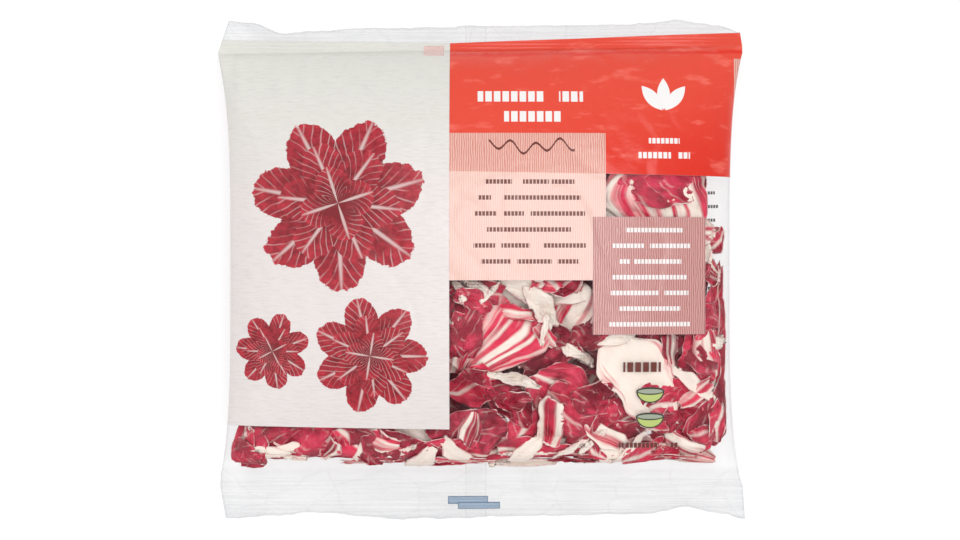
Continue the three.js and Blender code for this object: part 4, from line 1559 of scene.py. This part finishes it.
@dataclass(frozen=True)
class FilmFinish:
    """The clear film and what is printed on it.

    Its colours come first. The areas after them are places of the print on the plan, in millimetres: left,
    right, low and high. Last come where the seals and the clear ends start, how far the lap seam's print
    reaches past the ends, and how wide the line along each edge of the seam is.
    """

    side: Side
    region: Region
    clear: Colour = (0.46, 0.47, 0.49)
    paper: Colour = (0.655, 0.605, 0.59)
    paper_top: Colour = (0.60, 0.595, 0.555)
    # crease is painted shade in the white panel's creases.
    crease: Colour = (0.50, 0.465, 0.445)
    # sheen is a painted highlight on the red band.
    sheen: Colour = (0.74, 0.135, 0.10)
    red: Colour = (0.65, 0.058, 0.032)
    deep_red: Colour = (0.61, 0.018, 0.006)
    salmon: Colour = (0.57, 0.20, 0.15)
    pink: Colour = (0.70, 0.42, 0.36)
    light: Colour = (0.80, 0.64, 0.58)
    rose: Colour = (0.36, 0.15, 0.14)
    rose_light: Colour = (0.62, 0.33, 0.31)
    white: Colour = (0.74, 0.72, 0.71)
    brown: Colour = (0.13, 0.03, 0.022)
    blue: Colour = (0.26, 0.34, 0.44)
    navy: Colour = (0.13, 0.18, 0.26)
    ink: Colour = (0.08, 0.06, 0.06)

    panel: Area = (-140.0, -14.25, -74.6, 107.6)
    panel_slope: float = -0.012
    tab: Area = (-26.6, -17.1, 101.2, 106.4)
    band: Area = (-14.25, 140.0, 20.0, 108.3)
    band_top_slope: float = 0.038
    above_window: Area = (-14.25, 140.0, 45.6, 140.0)
    window_slope: float = -0.015
    pale_label: Area = (-14.25, 58.4, -4.75, 63.7)
    side_label: Area = (120.2, 140.0, 46.0, 100.0)
    rose_label: Area = (52.3, 105.5, -30.0, 24.7)
    wave_box: Area = (4.0, 44.0, 50.0, 64.0)
    wave_y: float = 57.5
    sprig: tuple[float, float, float] = (86.0, 74.0, 8.5)
    sprig_headings: tuple[float, ...] = (50.0, 90.0, 130.0)
    bowl_x: float = 79.5
    bowl_ys: tuple[float, float] = (-56.5, -68.5)
    marks: tuple[Area, ...] = ((-15.2, 3.8, -111.2, -107.4), (-10.5, 9.5, -113.5, -110.2))
    rosettes: tuple[Rosette, ...] = (
        Rosette(x=-66.0, y=31.0, radius=41.0, turn=0.2),
        Rosette(x=-51.0, y=-40.0, radius=27.0, turn=0.5),
        Rosette(x=-97.0, y=-38.0, radius=18.0, turn=0.1),
    )

    brown_lines: Area = (-3.0, 49.0, 2.9, 43.0)
    white_lines: Area = (60.0, 98.0, -26.3, 20.5)
    back_lines: Area = (99.0, 113.5, -9.5, 42.0)
    top_seal: float = 103.5
    bottom_seal: float = -98.0
    top_margin: float = 99.0
    bottom_margin: float = -92.0
    past_ends: float = 130.0
    lap_line: float = 0.6

    def paint_panel(self, printed: Print, fine: Value) -> Value:
        """Print the white crepe panel, a little darker towards its top, with painted shade in its creases,
        and return where it is.
        """
        shader = printed.shader
        panel = printed.box(*self.panel, self.panel_slope)
        paper = shader.blend(self.paper, self.paper_top, (printed.y - 20.0).step(0.0, 80.0))
        # The crease colour laid over the crepe noise is painted shade in the crepe's creases.
        printed.paint(panel, shader.blend(paper, self.crease, (fine - 0.47) * 1.5), 0.985)
        printed.paint(printed.box(*self.tab), self.pink, 0.4)
        return panel

    def paint_labels(self, printed: Print, mottle: Value) -> None:
        """Print the red band, deeper red towards its lower right, with a painted highlight and a painted
        shade line along the top seal's fold, and the two striped panels.
        """
        shader = printed.shader
        band = printed.box(*self.band, self.band_top_slope)
        band = band * printed.box(*self.above_window, self.window_slope)
        low = (75.0 - printed.y + printed.x * 0.25).step(0.0, 60.0)
        red = shader.blend(self.red, self.deep_red, low * 0.9 + (mottle - 0.5) * 0.3)
        # The sheen colour laid over the glint noise is a painted highlight.
        glint = shader.clouds(shader.place(printed.x * 0.05, printed.y * 0.14), 1.0, 3.0, 0.6)
        red = shader.blend(red, self.sheen, glint.step(0.54, 0.7) * 0.7)
        # A deep red line along the top seal's fold is painted shade in the crease.
        fold = abs(printed.y - printed.x * BAG.top_seal_slope - 101.6 + (glint - 0.5) * 3.0)
        red = shader.blend(red, self.deep_red, (1.0 - fold.step(0.2, 1.4)) * 0.8)
        printed.paint(band, red, 0.975)
        sway = shader.clouds(shader.place(printed.x * 0.35, printed.y * 0.14), 1.0, 2.0)
        stripe = abs(((printed.x + sway * 1.3) * 0.95).math("FRACT") - 0.5).step(0.0, 0.5)
        over = shader.blend(shader.blend(self.pink, self.salmon, band), self.light, stripe * 0.55)
        printed.paint(printed.box(*self.pale_label), over, 0.95)
        printed.paint(printed.box(*self.side_label), over, 0.9)
        rose = shader.blend(self.rose, self.rose_light, stripe)
        printed.paint(printed.box(*self.rose_label), rose, 0.93)

    def paint_signs(self, printed: Print) -> None:
        """Print the plain signs: a sprig, rows of blocks, bowls and the register marks."""
        root_x, root_y, away = self.sprig
        for heading in self.sprig_headings:
            x = root_x + away * math.cos(math.radians(heading))
            y = root_y + away * math.sin(math.radians(heading))
            printed.paint(printed.lens(x, y, length=15.0, width=6.0, heading=heading), self.white, 0.98)
        for left, right, y, height, colour in self.rows():
            row = printed.lines((left, right, y, y + height), pitch=1.6 * height, height=height)
            printed.paint(row, colour, 0.96)
        printed.paint(printed.lines(self.brown_lines, pitch=7.4, height=2.1), self.brown, 0.96)
        printed.paint(printed.lines(self.white_lines, pitch=7.3, height=2.1), self.white, 0.96)
        swing = (printed.x * 0.55).math("SINE") * 2.4 + (printed.x * 0.21).math("SINE") * 1.2
        stroke = 1.0 - abs(printed.y - self.wave_y - swing).step(0.45, 0.75)
        printed.paint(stroke * printed.box(*self.wave_box), self.brown, 0.96)
        for y in self.bowl_ys:
            Bowl(self.bowl_x, y).paint(printed)
        for left, right, low, high in self.marks:
            printed.paint(printed.box(left, right, low, high), self.navy, 0.85)
            printed.paint(printed.box(left + 0.4, right - 0.4, low + 0.5, high - 0.5), self.blue, 0.85)

    def rows(self) -> list[tuple[float, float, float, float, Colour]]:
        """Return the single rows of blocks: left, right, low edge, height and colour."""
        return [
            (-4.0, 51.0, 78.5, 5.0, self.white),
            (10.0, 39.0, 69.0, 5.0, self.white),
            (70.0, 102.0, 52.0, 3.0, self.white),
            (77.0, 95.0, 59.0, 2.6, self.white),
            (64.0, 86.0, -47.5, 4.6, self.brown),
            (65.0, 93.0, -83.5, 2.4, self.brown),
        ]

    def bare(self, x: Value, y: Value, haze: Value, ridges: Value) -> Value:
        """Find how much the bare film covers: more at its ends, edges and creases.

        Args:
            x: Place across the bag.
            y: Place along it.
            haze: Slow noise over the film.
            ridges: Where the ridges of the seals are.

        Returns:
            The cover, from 0 to 1.
        """
        shader = haze.shader
        margin = (y - self.top_margin).step(0.0, 4.0).most((self.bottom_margin - y).step(0.0, 4.0))
        edge = shader.attribute("edge")
        line = 1.0 - edge.step(0.1, 1.4)
        cover = haze * 0.05 - 0.012 + margin * 0.035 + ridges + line * 0.07
        crease = 1.0 - shader.network(shader.place(x + haze * 30.0, y * 1.6), 0.035).step(0.0, 0.05)
        return cover + (1.0 - edge.step(0.0, 7.0)) * 0.045 + crease * margin * 0.016

    def lapped(self, printed: Print) -> Value:
        """Return the cover with the two layers of the lap seam, and a line along each of its edges."""
        left = BAG.seam_x - BAG.seam_lap / 2.0
        right = BAG.seam_x + BAG.seam_lap / 2.0
        ends = (-self.past_ends, self.past_ends)
        lap = printed.box(left, right, *ends)
        lap_edge = lap - printed.box(left + self.lap_line, right - self.lap_line, *ends)
        return printed.cover + lap * 0.02 + lap_edge * 0.05

    def make(self) -> bpy.types.Material:
        """Return the material."""
        shader = Shader(f"film_{self.side.name.lower()}_{self.region.name.lower()}")
        x, y, plane = shader.plane("sheet")
        haze = shader.clouds(plane, 0.05, 2.0)
        at_top = (y - self.top_seal - x * BAG.top_seal_slope).step(0.0, 2.0)
        seal = at_top.most((self.bottom_seal - y).step(0.0, 2.0))
        lines = shader.clouds(shader.place(x * 0.02, y * 0.9), 1.0, 2.0)
        ridges = seal * (lines.step(0.35, 0.7) * 0.045)
        printed = Print(shader, self.clear, self.bare(x, y, haze, ridges))
        relief = haze + lines * seal
        if self.side is Side.BACK:
            printed.cover = self.lapped(printed)
            if self.region is Region.LABEL:
                printed.paint(printed.lines(self.back_lines, pitch=6.5, height=1.5), self.ink, 0.7)
        elif self.region is not Region.CLEAR:
            fine = shader.clouds(shader.place(x * 0.16, y * 1.1), 1.0, 3.0, 0.6)
            mottle = shader.clouds(plane, 0.32, 3.0, 0.62)
            panel = self.paint_panel(printed, fine)
            if self.region is Region.PANEL:
                waver = shader.clouds(plane, 0.06, 2.0)
                for rosette in self.rosettes:
                    rosette.paint(printed, waver, mottle)
            else:
                self.paint_labels(printed, mottle)
                self.paint_signs(printed)
            crinkle = shader.clouds(shader.place(x * 0.07, y * 0.1), 1.0, 3.0)
            relief = relief + fine * panel * 1.4 + crinkle * 2.5
        return shader.finish(
            Base_Color=printed.colour,
            Alpha=printed.cover,
            Roughness=0.2 + haze * 0.1,
            Normal=shader.bump(relief, 0.35, 0.0006),
            Specular_IOR_Level=0.3,
        )


@dataclass(frozen=True)
class FloorFinish:
    """The plain white table that the bag lies on, lit a little from below."""

    plain: Colour = (0.34, 0.34, 0.34)
    white: Colour = (1.0, 1.0, 1.0)
    glow: float = 0.66

    def make(self) -> bpy.types.Material:
        """Return the material."""
        shader = Shader("floor")
        return shader.finish(
            Base_Color=self.plain,
            Roughness=0.9,
            Emission_Color=self.white,
            Emission_Strength=self.glow,
        )


@dataclass(frozen=True)
class Studio:
    """The floor, the soft light and the camera straight above."""

    lens: float = 100.0
    sensor: float = 36.0
    frame_width: float = 456.0
    frame_height_at: float = 14.0
    floor_size: float = 6.0
    key_place: tuple[float, float, float] = (0.25, 0.1, 1.45)
    key_size: float = 0.8
    key_power: float = 9.3
    fill_place: tuple[float, float, float] = (-0.8, 0.1, 1.1)
    fill_size: float = 1.2
    fill_power: float = 3.0
    sky: float = 0.85

    def floor(self) -> None:
        """Lay the floor."""
        bpy.ops.object.select_all(action="DESELECT")
        bpy.ops.mesh.primitive_plane_add(size=self.floor_size)
        floor = bpy.context.object
        floor.name = "floor"
        floor.data.materials.append(FloorFinish().make())
        floor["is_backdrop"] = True

    def light(self, name: str, place: tuple[float, float, float], size: float, power: float) -> None:
        """Hang a soft light that points at the bag."""
        bpy.ops.object.light_add(type="AREA", location=place)
        lamp = bpy.context.object
        lamp.name = name
        lamp.data.size = size
        lamp.data.energy = power
        lamp.rotation_euler = Vector(place).to_track_quat("Z", "Y").to_euler()

    def camera(self) -> None:
        """Set the camera straight above the bag."""
        height = (self.frame_width * self.lens / self.sensor + self.frame_height_at) * MM
        bpy.ops.object.camera_add(location=(0.0, 0.0, height), rotation=(0.0, 0.0, 0.0))
        camera = bpy.context.object
        camera.data.lens = self.lens
        camera.data.sensor_width = self.sensor
        bpy.context.scene.camera = camera

    def make(self) -> None:
        """Set up the whole studio."""
        world = bpy.data.worlds.new("studio")
        world.use_nodes = True
        sky = world.node_tree.nodes["Background"]
        sky.inputs["Color"].default_value = (1.0, 1.0, 1.0, 1.0)
        sky.inputs["Strength"].default_value = self.sky
        bpy.context.scene.world = world
        bpy.context.scene.view_settings.view_transform = "Standard"
        self.floor()
        self.light("key", self.key_place, self.key_size, self.key_power)
        self.light("fill", self.fill_place, self.fill_size, self.fill_power)
        self.camera()


def main(frame: dict, cad_box: object) -> None:
    """Build the bag over its CAD frame.
    """
    Studio().make()
    Heap().make(frame["nodes"])
    for side in Side:
        FilmSheet(side).make()


if __name__ == "__main__":
    logging.basicConfig(level=logging.INFO, format="%(message)s")
    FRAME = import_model()
    main(FRAME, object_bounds())
